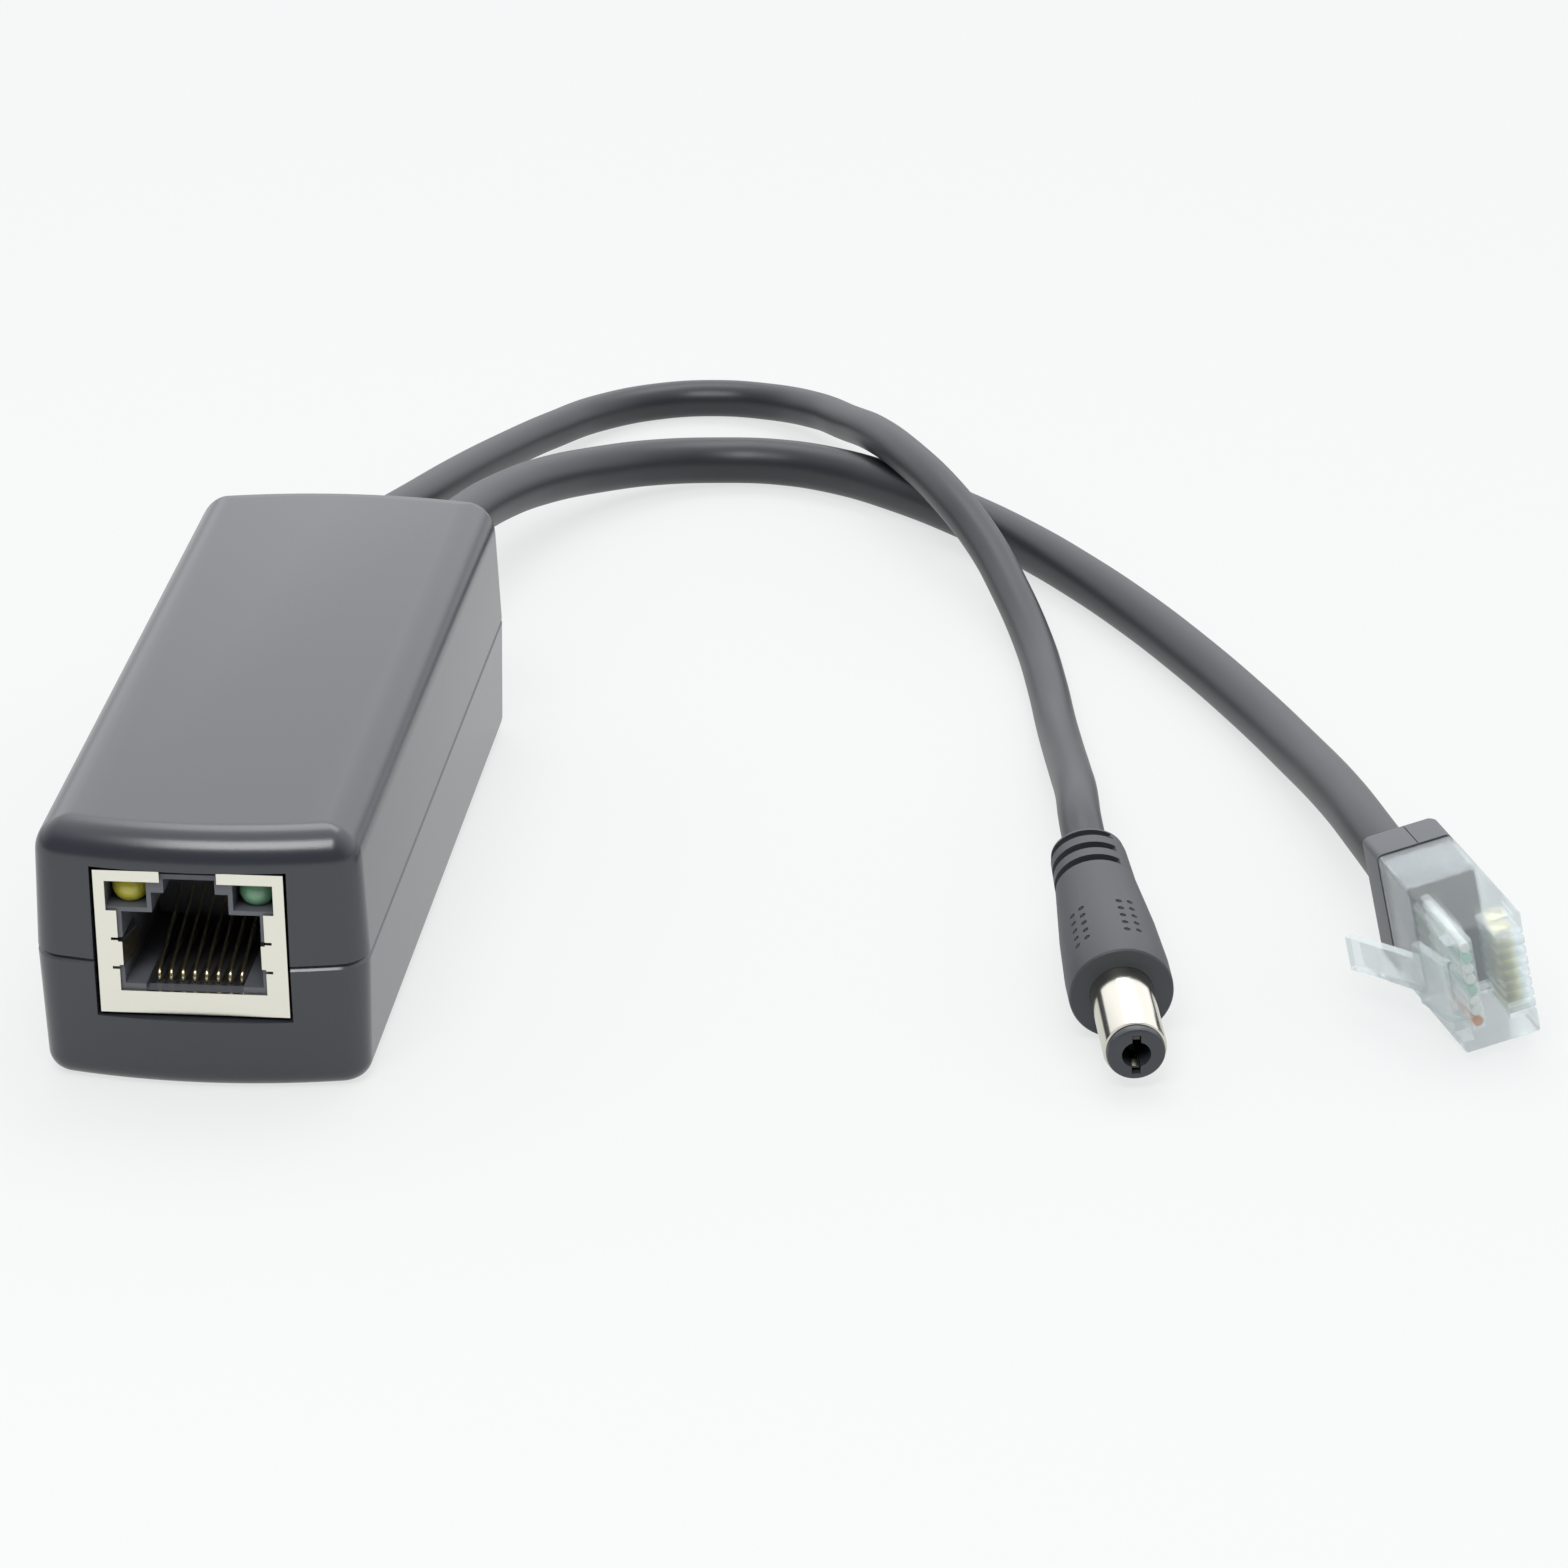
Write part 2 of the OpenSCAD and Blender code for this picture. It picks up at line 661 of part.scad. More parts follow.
choke_d = 6.4 * small;
choke_h = 7.4 * tall;
choke_waist = 3.6 * small;
choke_flange = 1.2 * tall;

module choke_core() color("#3a3a3c") {
    translate([choke_at[0], choke_at[1], board_top + 0.1])
        rotate_extrude()
            polygon([[0, 0], [choke_d / 2, 0], [choke_d / 2, choke_flange], [choke_waist / 2, choke_flange],
                [choke_waist / 2, choke_h - choke_flange], [choke_d / 2, choke_h - choke_flange],
                [choke_d / 2, choke_h], [0, choke_h]]);
    pins(choke_pins, board_top + 0.5);
}

module choke_winding() color("#b5683a")
    translate([choke_at[0], choke_at[1], board_top + 0.1 + choke_flange + clear / 2])
        difference() {
            cylinder(d = choke_d - 0.6, h = choke_h - 2 * choke_flange - clear);
            translate([0, 0, -cut])
                cylinder(d = choke_waist + clear, h = choke_h);
        }

module safety_capacitor() color("#3f6fae") {
    translate([safety_at[0], safety_at[1] - 1.2 * small, board_top + 3.7 * small])
        rotate([-90, 0, 0])
            cylinder(d = 6.6 * small, h = 2.4 * small);
    pins(safety_pins, board_top + 2 * small);
}

// Small resistors and capacitors in the free strips of the board
module small_chip_parts() color("#b9a88c")
    for (at = [spot(-9.8, 41.6), spot(10, 34.3), spot(10.3, 19.8), spot(3.6, 19.4), spot(3.6, 15.4), spot(5, 4.4)])
        block([1.2 * small, 2 * small, 0.7 * tall], [at[0], at[1], board_top]);

// Cords, their ties and their leads

// A tie round a cord, with its lock on top
module cord_tie(x, r) {
    lock = 3.4;
    lock_h = min(lock + 0.4, ceiling_z - part_z - r - 0.3);
    difference() {
        union() {
            lying(r + tie_t, tie_w, [x, tie_y, part_z]);
            block([lock, tie_w, lock_h], [x, tie_y + tie_w / 2, part_z + r]);
        }
        lying(r + 0.03, tie_w + 2 * cut, [x, tie_y - cut, part_z]);
    }
}

module dc_cord_tie() color("#e6e6e2") cord_tie(dc_x, dc_r);

module data_cord_tie() color("#e6e6e2") cord_tie(data_x, data_r);

// Leads from a cord's end down to the board's pads, each ending in solder.
// The starts are places across and up from the cord's middle.
module leads(x, starts, pads, wire_r) {
    for (i = [0 : len(pads) - 1]) {
        bar([x + starts[i][0], cord_in_y - 0.6, part_z + starts[i][1]],
            [pads[i][0], pads[i][1], board_top + 0.6], wire_r);
        translate([pads[i][0], pads[i][1], board_top])
            cylinder(r = wire_r + 0.1, h = 1);
    }
}

module dc_leads() color("#b3302c") leads(dc_x, [[-0.9, 0], [0.9, 0]], dc_pads, 0.6 * small);

module data_leads() color("#c8783c") leads(data_x,
    [for (i = [0 : contact_count - 1]) [(floor(i / 2) - 1.5) * 1.05, i % 2 == 0 ? 0.5 : -0.5]],
    data_pads, 0.35 * small);

// A cord swept along its route
module cord(route, r, sides) {
    skin([for (i = [0 : len(route) - 1]) cord_ring(route, i, r, sides)]);
}

module dc_cord() color("#2c2d30") cord(dc_route, dc_r, dc_sides);

module data_cord() color("#2c2d30") cord(data_route, data_r, data_sides);

// Power plug. Each piece is drawn with the grip's rear face at zero and the
// barrel pointing up, then turned to the cord's end.

module at_power_plug() {
    translate(dc_plug_at)
        rotate([90 - dc_plug_pitch, 0, dc_plug_yaw])
            children();
}

module dc_plug_grip() color("#46484c") at_power_plug() {
    sides = 32;
    front_edge = 0.5;
    // Length from the rear, width and thickness of each section
    sections = [
        [0, neck_w - 2, neck_t - 2], [0.3, neck_w - 1, neck_t - 1], [0.9, neck_w - 0.3, neck_t - 0.3],
        [2, neck_w, neck_t], [7, neck_w + 0.4, neck_t + 0.5],
        [neck_len, grip_d - 0.6, grip_d - 0.9], [grip_l - 3, grip_d, grip_d],
        [grip_l - front_edge, grip_d, grip_d], [grip_l - front_edge * 0.3, grip_d - front_edge * 0.6, grip_d - front_edge * 0.6],
        [grip_l, grip_d - 2 * front_edge, grip_d - 2 * front_edge]];
    difference() {
        skin([for (s = sections) oval(s[1], s[2], s[0], sides)]);
        // Slots that let the neck flex, over the top and under it
        for (i = [0 : 2], turn = [0, 180])
            rotate([0, 0, turn + 20])
                translate([0, 0, 1.6 + 2.1 * i])
                    rotate_extrude(angle = 140)
                        translate([neck_t / 2 - 0.6, 0])
                            square([3, flex_slot]);
        // The barrel's seat
        translate([0, 0, grip_l - barrel_in])
            cylinder(r1 = barrel_d / 2 + barrel_flare + fit, r2 = barrel_d / 2 + fit, h = barrel_in);
        translate([0, 0, grip_l - fit])
            cylinder(r = barrel_d / 2 + fit, h = cut);
    }
}

module dc_plug_barrel() color("#d6d2c6") at_power_plug()
    translate([0, 0, grip_l - barrel_in + fit])
        rotate_extrude() {
            r = barrel_d / 2;
            tip = barrel_l - insulator_out + barrel_in;
            polygon([[r - barrel_wall, 0], [r + barrel_flare, 0], [r, barrel_in], [r, tip - tip_edge],
                [r - tip_edge, tip], [r - barrel_wall, tip]]);
        }

module dc_plug_insulator() color("#1d1e21") at_power_plug()
    translate([0, 0, grip_l - barrel_in + fit])
        difference() {
            r = barrel_d / 2 - barrel_wall - fit;
            tip = barrel_l + barrel_in;
            rotate_extrude()
                polygon([[0, 0], [r, 0], [r, tip - insulator_out + 0.1], [r + 0.2, tip - insulator_out + 0.1],
                    [r + 0.2, tip - 0.3], [r - 0.1, tip], [0, tip]]);
            translate([0, 0, 2])
                cylinder(d = pin_hole_d, h = tip);
            // Slots for the two contact springs
            block([0.7, pin_hole_d + 1.3, tip], [0, 0, 2]);
        }

module dc_plug_contact() color("#d2b36a") at_power_plug()
    translate([0, 0, grip_l - barrel_in + 2.05])
        for (s = [-1, 1])
            block([0.6, 0.4, barrel_l + barrel_in - 3], [0, s * (pin_hole_d / 2 + 0.3), 0]);

// Network plug. Each piece is drawn with the boot's rear face at zero, x
// towards the contacts, y across the plug and z towards the nose.

module at_network_plug() {
    translate(data_plug_at)
        rotate([90 - data_plug_pitch, 0, data_plug_yaw])
            rotate([0, 0, data_plug_roll])
                children();
}

side_x = plug_h / 2;
nose_z = boot_l + plug_l;
front_x = side_x - plug_step;

module data_plug_boot() color("#55575b") at_network_plug() {
    // The part behind the clear body, rounded towards the cord
    skin([for (e = [[0, 1.5], [0.4, 0.8], [1.2, 0.4], [boot_l - 0.05, 0]])
        let (a = side_x - e[1], b = plug_w / 2 - e[1], c = 0.6 + e[1] * 0.6)
        [for (k = [[a, b - c], [a - c, b], [c - a, b], [-a, b - c], [-a, c - b], [c - a, -b], [a - c, -b], [a, c - b]])
            [k[0], k[1], e[0]]]]);
    // The core that fills the rear of the clear body
    w = plug_w - 2 * plug_wall - 2 * clear;
    h = plug_h - 2 * plug_wall - 2 * clear;
    translate([-h / 2, -w / 2, boot_l - cut])
        cube([h, w, plug_block_l - plug_wall + cut]);
}

module data_plug_body() color("#dfe6ea", 0.4) at_network_plug() {
    w = plug_w - 2 * plug_wall;
    h = plug_h - 2 * plug_wall;
    difference() {
        union() {
            translate([-side_x, -plug_w / 2, boot_l])
                cube([plug_h, plug_w, plug_block_l]);
            translate([-side_x, -plug_w / 2, boot_l])
                cube([plug_h - plug_step, plug_w, plug_l]);
        }
        // Room for the boot's core
        translate([-h / 2, -w / 2, boot_l - cut])
            cube([h, w, plug_block_l - plug_wall + cut]);
        // The way for the wires, up to the nose
        translate([front_x - 4.6, -w / 2 + 0.9, boot_l])
            cube([1.2, w - 1.8, plug_l - 0.8]);
        // Slots for the contacts
        for (i = [0 : contact_count - 1])
            translate([front_x - 3.2, (i - 3.5) * contact_pitch - 0.25, boot_l + blade_front - blade_l - 0.2])
                cube([3.2 + cut, 0.5, blade_l + 1.4 + cut]);
        // The hollow under the latch side of the nose
        translate([-side_x - cut, -plug_w / 2 + 1.2, nose_z - 2.2])
            cube([1.4 + cut, 2, 2.2 + cut]);
        translate([-side_x - cut, plug_w / 2 - 3.2, nose_z - 2.2])
            cube([1.4 + cut, 2, 2.2 + cut]);
    }
    // The latch: a wide tongue with shoulders, then a narrow lever
    hinge = [-side_x + 0.1, nose_z - 0.6];
    shoulder = [-side_x - 1.1, nose_z - 5.8];
    lever_end = [-side_x - 4.9, boot_l + 4.4];
    translate([0, 2.9, 0])
        rotate([90, 0, 0])
            linear_extrude(5.8)
                polygon(strip([hinge, [-side_x - 0.35, nose_z - 1.2], shoulder], latch_t));
    translate([0, 1.6, 0])
        rotate([90, 0, 0])
            linear_extrude(3.2)
                polygon(strip([shoulder + [0.2, 1], shoulder + [-0.5, -0.6], lever_end], latch_t));
}

module data_plug_blades() color("#d8b45a") at_network_plug()
    for (i = [0 : contact_count - 1])
        translate([front_x - 3.2 + 0.05, (i - 3.5) * contact_pitch - blade_t / 2, boot_l + blade_front - blade_l])
            cube([2.7, blade_t, blade_l]);

module data_plug_wires() color("#d98a4a") at_network_plug()
    for (i = [0 : contact_count - 1])
        translate([front_x - 4, (i - 3.5) * contact_pitch, boot_l + plug_block_l - plug_wall + clear])
            cylinder(r = 0.45, h = plug_l - plug_block_l + plug_wall - 1 - clear);

upper_shell();
lower_shell();
circuit_board();
jack_shield();
jack_housing();
jack_contacts();
jack_lamp_yellow();
jack_lamp_green();
data_transformer();
bridge_rectifier_1();
bridge_rectifier_2();
transformer_core();
transformer_bobbin();
transformer_winding();
input_capacitor();
output_capacitor_1();
output_capacitor_2();
choke_core();
choke_winding();
controller_chip();
optocoupler();
rectifier_diode();
safety_capacitor();
small_chip_parts();
dc_cord_tie();
data_cord_tie();
dc_leads();
data_leads();
dc_cord();
data_cord();
dc_plug_grip();
dc_plug_barrel();
dc_plug_insulator();
dc_plug_contact();
data_plug_boot();
data_plug_body();
data_plug_blades();
data_plug_wires();
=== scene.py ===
"""A splitter that takes power off a network line, with its two cords and plugs.

Sizes are in millimetres and in the CAD frame: +Z up, the jack looks towards -Y.
Each mesh is shaped in millimetres and brought to metres as it is finished.
"""

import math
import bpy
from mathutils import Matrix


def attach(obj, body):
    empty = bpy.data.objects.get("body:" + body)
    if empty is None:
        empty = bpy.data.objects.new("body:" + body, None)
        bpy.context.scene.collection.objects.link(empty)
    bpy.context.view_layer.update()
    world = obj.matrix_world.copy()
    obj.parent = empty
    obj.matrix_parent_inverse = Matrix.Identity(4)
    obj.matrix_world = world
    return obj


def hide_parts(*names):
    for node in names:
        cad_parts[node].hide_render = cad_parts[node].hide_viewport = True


bl_info = {
    "name": "Network power splitter",
    "version": (1, 0, 0),
    "blender": (4, 5, 0),
    "location": "3D View > Sidebar > Splitter",
    "description": "Builds the looks of a small splitter round its CAD frame",
    "category": "Object",
}

import bmesh
import bpy
from bpy.props import FloatProperty, FloatVectorProperty, PointerProperty
from mathutils import Matrix, Vector

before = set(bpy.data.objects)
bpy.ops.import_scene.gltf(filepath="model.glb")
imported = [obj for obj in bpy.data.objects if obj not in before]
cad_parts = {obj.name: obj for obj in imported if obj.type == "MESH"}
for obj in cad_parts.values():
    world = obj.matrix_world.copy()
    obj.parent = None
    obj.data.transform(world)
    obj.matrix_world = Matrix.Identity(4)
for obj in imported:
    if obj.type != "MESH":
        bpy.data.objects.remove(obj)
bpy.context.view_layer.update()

MM = 0.001
PHOTO_PIXELS = 1568
SENSOR_MM = 36
FOCAL_PIXELS = 6437.15
SMOOTH_BELOW = math.radians(38)

# How bright the camera sees the paper by itself, and how much of the light on it
PAPER_GLOW = 0.733
PAPER_SHADE = 0.154

# The jack's middle, front and underside, and the spacing of contacts on it and on the plug
JACK_X = -0.4
JACK_Y = -39
JACK_Z = 6.8
CONTACT_PITCH = 1.02

# The cords' routes, as the part's source has them
POWER_ROUTE = [
    (-5, 30, 11.6), (-5, 39, 11.6), (-5, 47, 11.5), (-4, 57, 10.5), (-2.5, 66, 9.2),
    (-0.5, 75.2, 7.8), (2, 86, 6.2), (5, 96.7, 4.6), (8.5, 106.6, 3.2), (12.5, 114.2, 2.3),
    (18, 118.6, 2), (24, 120, 2), (30, 118.8, 2.2), (35.5, 114.1, 3.2), (39.5, 107.4, 4.6),
    (43.5, 99.3, 6.5), (48, 90.3, 7.4), (52.5, 81.9, 7), (56.8, 74, 5.4), (60.3, 65.5, 3.6),
    (63.3, 56, 2.2), (65.3, 46.5, 2), (66.9, 37, 2.3), (68.3, 28, 3.6), (69.6, 19, 5.5),
    (70.8, 10.5, 7.2), (71.6, 4, 7.7), (72.5, -1, 7.2),
]
DATA_ROUTE = [
    (4, 30, 11.6), (4, 39, 11.6), (4, 47.5, 11.5), (4.6, 57, 10.7), (5.8, 66.7, 9.4),
    (7.8, 76.4, 7.8), (11, 85.6, 6), (15.3, 92.8, 4.4), (20.5, 97.9, 3.3), (26.5, 100.7, 2.6),
    (33, 100.9, 2.5), (39.4, 98.8, 2.5), (46, 94.5, 2.5), (53.7, 87.7, 2.5), (60.5, 80.4, 2.5),
    (66.5, 72.7, 2.5), (72.5, 63.9, 2.5), (78.5, 53.9, 2.5), (84.4, 42.6, 2.7), (89.8, 30.2, 3.4),
    (94.3, 17.3, 4.9), (97.7, 6, 6), (101, -4, 6.3),
]


def placed(at, yaw, tilt, roll=0):
    """The place of something that points along -Y, turned by yaw, tilted up and rolled, in degrees."""
    return (
        Matrix.Translation(at)
        @ Matrix.Rotation(math.radians(yaw), 4, "Z")
        @ Matrix.Rotation(math.radians(90 - tilt), 4, "X")
        @ Matrix.Rotation(math.radians(roll), 4, "Z")
    )


POWER_PLUG = placed(POWER_ROUTE[-1], 11.5, -6.3)
DATA_PLUG = placed(DATA_ROUTE[-1], 21.1, 1.7, 10.6)


# Sizes and colours that a user would change


def size(name, description, default, low, high):
    """A length in millimetres."""
    return FloatProperty(
        name=name, description=description, default=default, min=low, max=high, precision=2
    )


def tint(name, description, default):
    """A colour, kept linear."""
    return FloatVectorProperty(
        name=name,
        description=description,
        subtype="COLOR",
        size=3,
        min=0,
        max=1,
        default=linear(default)[:3],
    )


def linear(hex_colour):
    """Linear red, green, blue and alpha of an sRGB hex colour."""
    parts = [int(hex_colour[i : i + 2], 16) / 255 for i in (1, 3, 5)]
    return tuple(c / 12.92 if c <= 0.04045 else ((c + 0.055) / 1.055) ** 2.4 for c in parts) + (1.0,)


class HousingSizes(bpy.types.PropertyGroup):
    length: size("Length", "Length between the corners, mm", 76.2, 60, 90)
    width: size("Width", "Width at the parting line, mm", 28.7, 24, 36)
    height: size("Height", "Height of the housing, mm", 23.7, 20, 30)
    bow: size("Bow", "How far each end bows outward, mm", 1.9, 0.5, 3)
    part_z: size("Parting height", "Height of the line where the shells meet, mm", 11.6, 9, 14)
    draft: size("Draft", "How far each side leans in, mm", 0.3, 0.1, 1)
    corner: size("Corner radius", "Radius of the upright corners, mm", 3, 1, 5)
    top_edge: size("Top radius", "Radius of the edges round the top, mm", 3.2, 1, 4)
    low_edge: size("Bottom radius", "Radius of the edges round the bottom, mm", 1.8, 1, 4)
    wall: size("Wall", "Wall of the shells, mm", 2, 1, 3)
    seam: size("Groove", "Depth of the groove between the shells, mm", 0.25, 0.1, 0.5)


class CordSizes(bpy.types.PropertyGroup):
    power_d: size("Power cord", "Diameter of the power cord, mm", 3.9, 3, 5)
    data_d: size("Network cord", "Diameter of the network cord, mm", 4.8, 4, 6)


class PlugSizes(bpy.types.PropertyGroup):
    grip_l: size("Grip length", "Length of the power plug's grip, mm", 24, 20, 30)
    grip_d: size("Grip diameter", "Diameter of the grip at its front, mm", 9.1, 8, 11)
    barrel_d: size("Barrel", "Diameter of the barrel, mm", 5.5, 5, 6)
    barrel_l: size("Barrel length", "Length of the barrel outside the grip, mm", 9.5, 8, 12)
    pin_hole_d: size("Pin hole", "Diameter of the hole for the pin, mm", 2.5, 2, 3)
    boot_l: size("Boot", "Length of the network plug's boot, mm", 4.6, 3, 8)


class Finishes(bpy.types.PropertyGroup):
    housing: tint("Housing", "Colour of the shells", "#2f3238")
    cord: tint("Cords", "Colour of the cords' jackets", "#25272b")
    grip: tint("Grip", "Colour of the power plug's grip", "#3a3d41")
    boot: tint("Boot", "Colour of the network plug's boot", "#505357")
    nickel: tint("Nickel", "Colour of the plated shield and barrel", "#e9e6da")
    floor: tint("Floor", "Colour of the floor", "#e1e3e3")


# Meshes


def loft(rings):
    """Pulls a ring of edges from each ring of points to the next and closes both ends."""
    bm = bmesh.new()
    start = bmesh.ops.create_circle(bm, segments=len(rings[0]), radius=1)["verts"]
    place = {vert: i for i, vert in enumerate(start)}
    edges = list(bm.edges)
    for vert, i in place.items():
        vert.co = rings[0][i]
    low = list(edges)
    for ring in rings[1:]:
        grown = bmesh.ops.extrude_edge_only(bm, edges=edges)["geom"]
        edges = [g for g in grown if isinstance(g, bmesh.types.BMEdge)]
        new = [g for g in grown if isinstance(g, bmesh.types.BMVert)]
        source = {v: e.other_vert(v) for v in new for e in v.link_edges if e.other_vert(v) in place}
        place = {v: place[source[v]] for v in new}
        for vert, i in place.items():
            vert.co = ring[i]
    for end in (low, edges):
        bmesh.ops.contextual_create(bm, geom=end)
    return bm


def turned(profile, segments=64, closed=True):
    """Spins a profile of (radius, height) points round the z axis."""
    bm = bmesh.new()
    verts = [bm.verts.new((r, 0, z)) for r, z in profile]
    pairs = zip(verts, verts[1:] + verts[:1]) if closed else zip(verts, verts[1:])
    edges = [bm.edges.new(pair) for pair in pairs]
    bmesh.ops.spin(
        bm,
        geom=verts + edges,
        cent=(0, 0, 0),
        axis=(0, 0, 1),
        angle=math.tau,
        steps=segments,
        use_merge=True,
    )
    bmesh.ops.remove_doubles(bm, verts=bm.verts, dist=1e-4)
    return bm


def block(low, high, edge=0.0, segments=2):
    """A box between two corners, its edges rounded."""
    bm = bmesh.new()
    bmesh.ops.create_cube(bm, size=1)
    low, high = Vector(low), Vector(high)
    bmesh.ops.scale(bm, vec=high - low, verts=bm.verts)
    bmesh.ops.translate(bm, vec=(low + high) / 2, verts=bm.verts)
    if edge:
        bmesh.ops.bevel(
            bm, geom=bm.edges[:], offset=edge, segments=segments, profile=0.5, affect="EDGES", material=-1
        )
    return bm


def rod(start, end, radius, sides=24):
    """A round rod between two points."""
    bm = bmesh.new()
    start, end = Vector(start), Vector(end)
    along = end - start
    bmesh.ops.create_cone(
        bm, cap_ends=True, segments=sides, radius1=radius, radius2=radius, depth=along.length
    )
    turn = along.to_track_quat("Z", "Y").to_matrix().to_4x4()
    bmesh.ops.transform(bm, matrix=Matrix.Translation((start + end) / 2) @ turn, verts=bm.verts)
    return bm


def ribbon(path, side, thickness):
    """A strip of sheet that follows a path and is as wide as the vector side."""
    bm = bmesh.new()
    verts = [bm.verts.new(p) for p in path]
    edges = [bm.edges.new(pair) for pair in zip(verts, verts[1:])]
    grown = bmesh.ops.extrude_edge_only(bm, edges=edges)["geom"]
    bmesh.ops.translate(bm, vec=side, verts=[g for g in grown if isinstance(g, bmesh.types.BMVert)])
    bmesh.ops.recalc_face_normals(bm, faces=bm.faces)
    bm.normal_update()
    for vert in bm.verts:
        vert.co -= vert.normal * thickness / 2
    bmesh.ops.solidify(bm, geom=bm.faces[:], thickness=-thickness)
    return bm


def rounded(path, radius, steps=5):
    """A path with each inner corner rounded off."""
    points = [Vector(p) for p in path]
    made = [points[0]]
    for before, corner, after in zip(points, points[1:], points[2:]):
        reach = min(radius, (before - corner).length / 2, (after - corner).length / 2)
        a = corner + (before - corner).normalized() * reach
        b = corner + (after - corner).normalized() * reach
        for i in range(steps + 1):
            t = i / steps
            made.append(a.lerp(corner, t).lerp(corner.lerp(b, t), t))
    return made + [points[-1]]


def swept(path, radius, sides=10):
    """A round wire along a path that stays in one plane across x."""
    rings = []
    for i, point in enumerate(path):
        along = (path[min(i + 1, len(path) - 1)] - path[max(i - 1, 0)]).normalized()
        up = along.cross(Vector((1, 0, 0))).normalized()
        turns = [math.tau * k / sides for k in range(sides)]
        rings.append([point + radius * (math.cos(a) * Vector((1, 0, 0)) + math.sin(a) * up) for a in turns])
    return loft(rings)


def joined(*parts):
    """One bmesh that holds the shapes of several."""
    whole = bmesh.new()
    for part in parts:
        mesh = bpy.data.meshes.new("part")
        part.to_mesh(mesh)
        part.free()
        whole.from_mesh(mesh)
        bpy.data.meshes.remove(mesh)
    return whole


def boolean(bm, other, operation="DIFFERENCE"):
    """The first shape with the other cut away, or added."""
    objects = []
    for part in (bm, other):
        bmesh.ops.recalc_face_normals(part, faces=part.faces)
        mesh = bpy.data.meshes.new("part")
        part.to_mesh(mesh)
        part.free()
        objects.append(bpy.data.objects.new("part", mesh))
        bpy.context.scene.collection.objects.link(objects[-1])
    modifier = objects[0].modifiers.new("boolean", "BOOLEAN")
    modifier.operation = operation
    modifier.solver = "EXACT"
    modifier.use_self = True
    modifier.object = objects[1]
    evaluated = objects[0].evaluated_get(bpy.context.evaluated_depsgraph_get())
    result = bmesh.new()
    mesh = bpy.data.meshes.new_from_object(evaluated)
    result.from_mesh(mesh)
    bpy.data.meshes.remove(mesh)
    for thing in objects:
        mesh = thing.data
        bpy.data.objects.remove(thing)
        bpy.data.meshes.remove(mesh)
    if not result.faces:
        raise RuntimeError("the cut left nothing")
    return result


def finish_piece(bm, name, finish, nodes, place=None):
    """Makes a bmesh a piece of the object, in metres, riding on the CAD frame.

    Finish is its material, or a list of them that its faces' indices choose from.
    """
    if place:
        bmesh.ops.transform(bm, matrix=place, verts=bm.verts)
    bmesh.ops.remove_doubles(bm, verts=bm.verts, dist=1e-5)
    bmesh.ops.recalc_face_normals(bm, faces=bm.faces)
    bmesh.ops.scale(bm, vec=(MM, MM, MM), verts=bm.verts)
    for face in bm.faces:
        face.smooth = True
    for edge in bm.edges:
        edge.smooth = edge.calc_face_angle(0) < SMOOTH_BELOW
    mesh = bpy.data.meshes.new(name)
    bm.to_mesh(mesh)
    bm.free()
    for material in finish if isinstance(finish, list) else [finish]:
        mesh.materials.append(material)
    piece = bpy.data.objects.new(name, mesh)
    bpy.context.scene.collection.objects.link(piece)
    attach(piece, "root")
    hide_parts(*nodes)
    return piece


# Materials


def add(tree, kind, inputs=None, **settings):
    """Adds a node. A socket among its inputs is linked, and any other value is set."""
    node = tree.nodes.new(kind)
    for name, value in settings.items():
        setattr(node, name, value)
    for name, value in (inputs or {}).items():
        if isinstance(value, bpy.types.NodeSocket):
            tree.links.new(value, node.inputs[name])
        else:
            node.inputs[name].default_value = value
    return node


def material_of(name, colour, grain=None, **inputs):
    """A named material on one Principled shader. Grain is (size in mm, depth in mm) of a fine bump."""
    if name in bpy.data.materials:
        return bpy.data.materials[name]
    material = bpy.data.materials.new(name)
    material.use_nodes = True
    tree = material.node_tree
    tree.nodes.clear()
    colour = linear(colour) if isinstance(colour, str) else (*colour, 1.0)
    values = {"Base Color": colour, **{key.replace("_", " "): value for key, value in inputs.items()}}
    if grain:
        grain_size, grain_depth = grain
        spots = add(tree, "ShaderNodeTexCoord")
        noise = add(
            tree,
            "ShaderNodeTexNoise",
            {
                "Vector": spots.outputs["Object"],
                "Scale": 1 / (grain_size * MM),
                "Detail": 2.0,
                "Roughness": 0.6,
            },
        )
        bump = add(
            tree,
            "ShaderNodeBump",
            {"Height": noise.outputs["Fac"], "Strength": 1.0, "Distance": grain_depth * MM},
        )
        values["Normal"] = bump.outputs["Normal"]
    shader = add(tree, "ShaderNodeBsdfPrincipled", values)
    add(tree, "ShaderNodeOutputMaterial", {"Surface": shader.outputs["BSDF"]})
    return material


def colours():
    """The colours that a user would change."""
    return bpy.context.scene.splitter_finishes


def spark_textured_abs():
    """ABS moulded against a spark-eroded steel: a fine even grain that goes pale at a low angle."""
    return material_of(
        "Spark-textured ABS", colours().housing, grain=(0.25, 0.004), Roughness=0.24, IOR=1.6
    )


def nickel_plated_sheet():
    """Bright nickel over rolled brass, a warm mirror with a slight haze from the rolling."""
    return material_of("Nickel-plated sheet", colours().nickel, Metallic=1.0, Roughness=0.24)


def nickel_plated_turned_brass():
    """Bright nickel over turned brass, smoother than the sheet."""
    return material_of("Nickel-plated turned brass", "#cfccc1", Metallic=1.0, Roughness=0.16)


def moulded_black_nylon():
    """Glass-filled nylon, moulded smooth: near black with a soft sheen."""
    return material_of("Moulded black nylon", "#34363b", Roughness=0.38, IOR=1.53)


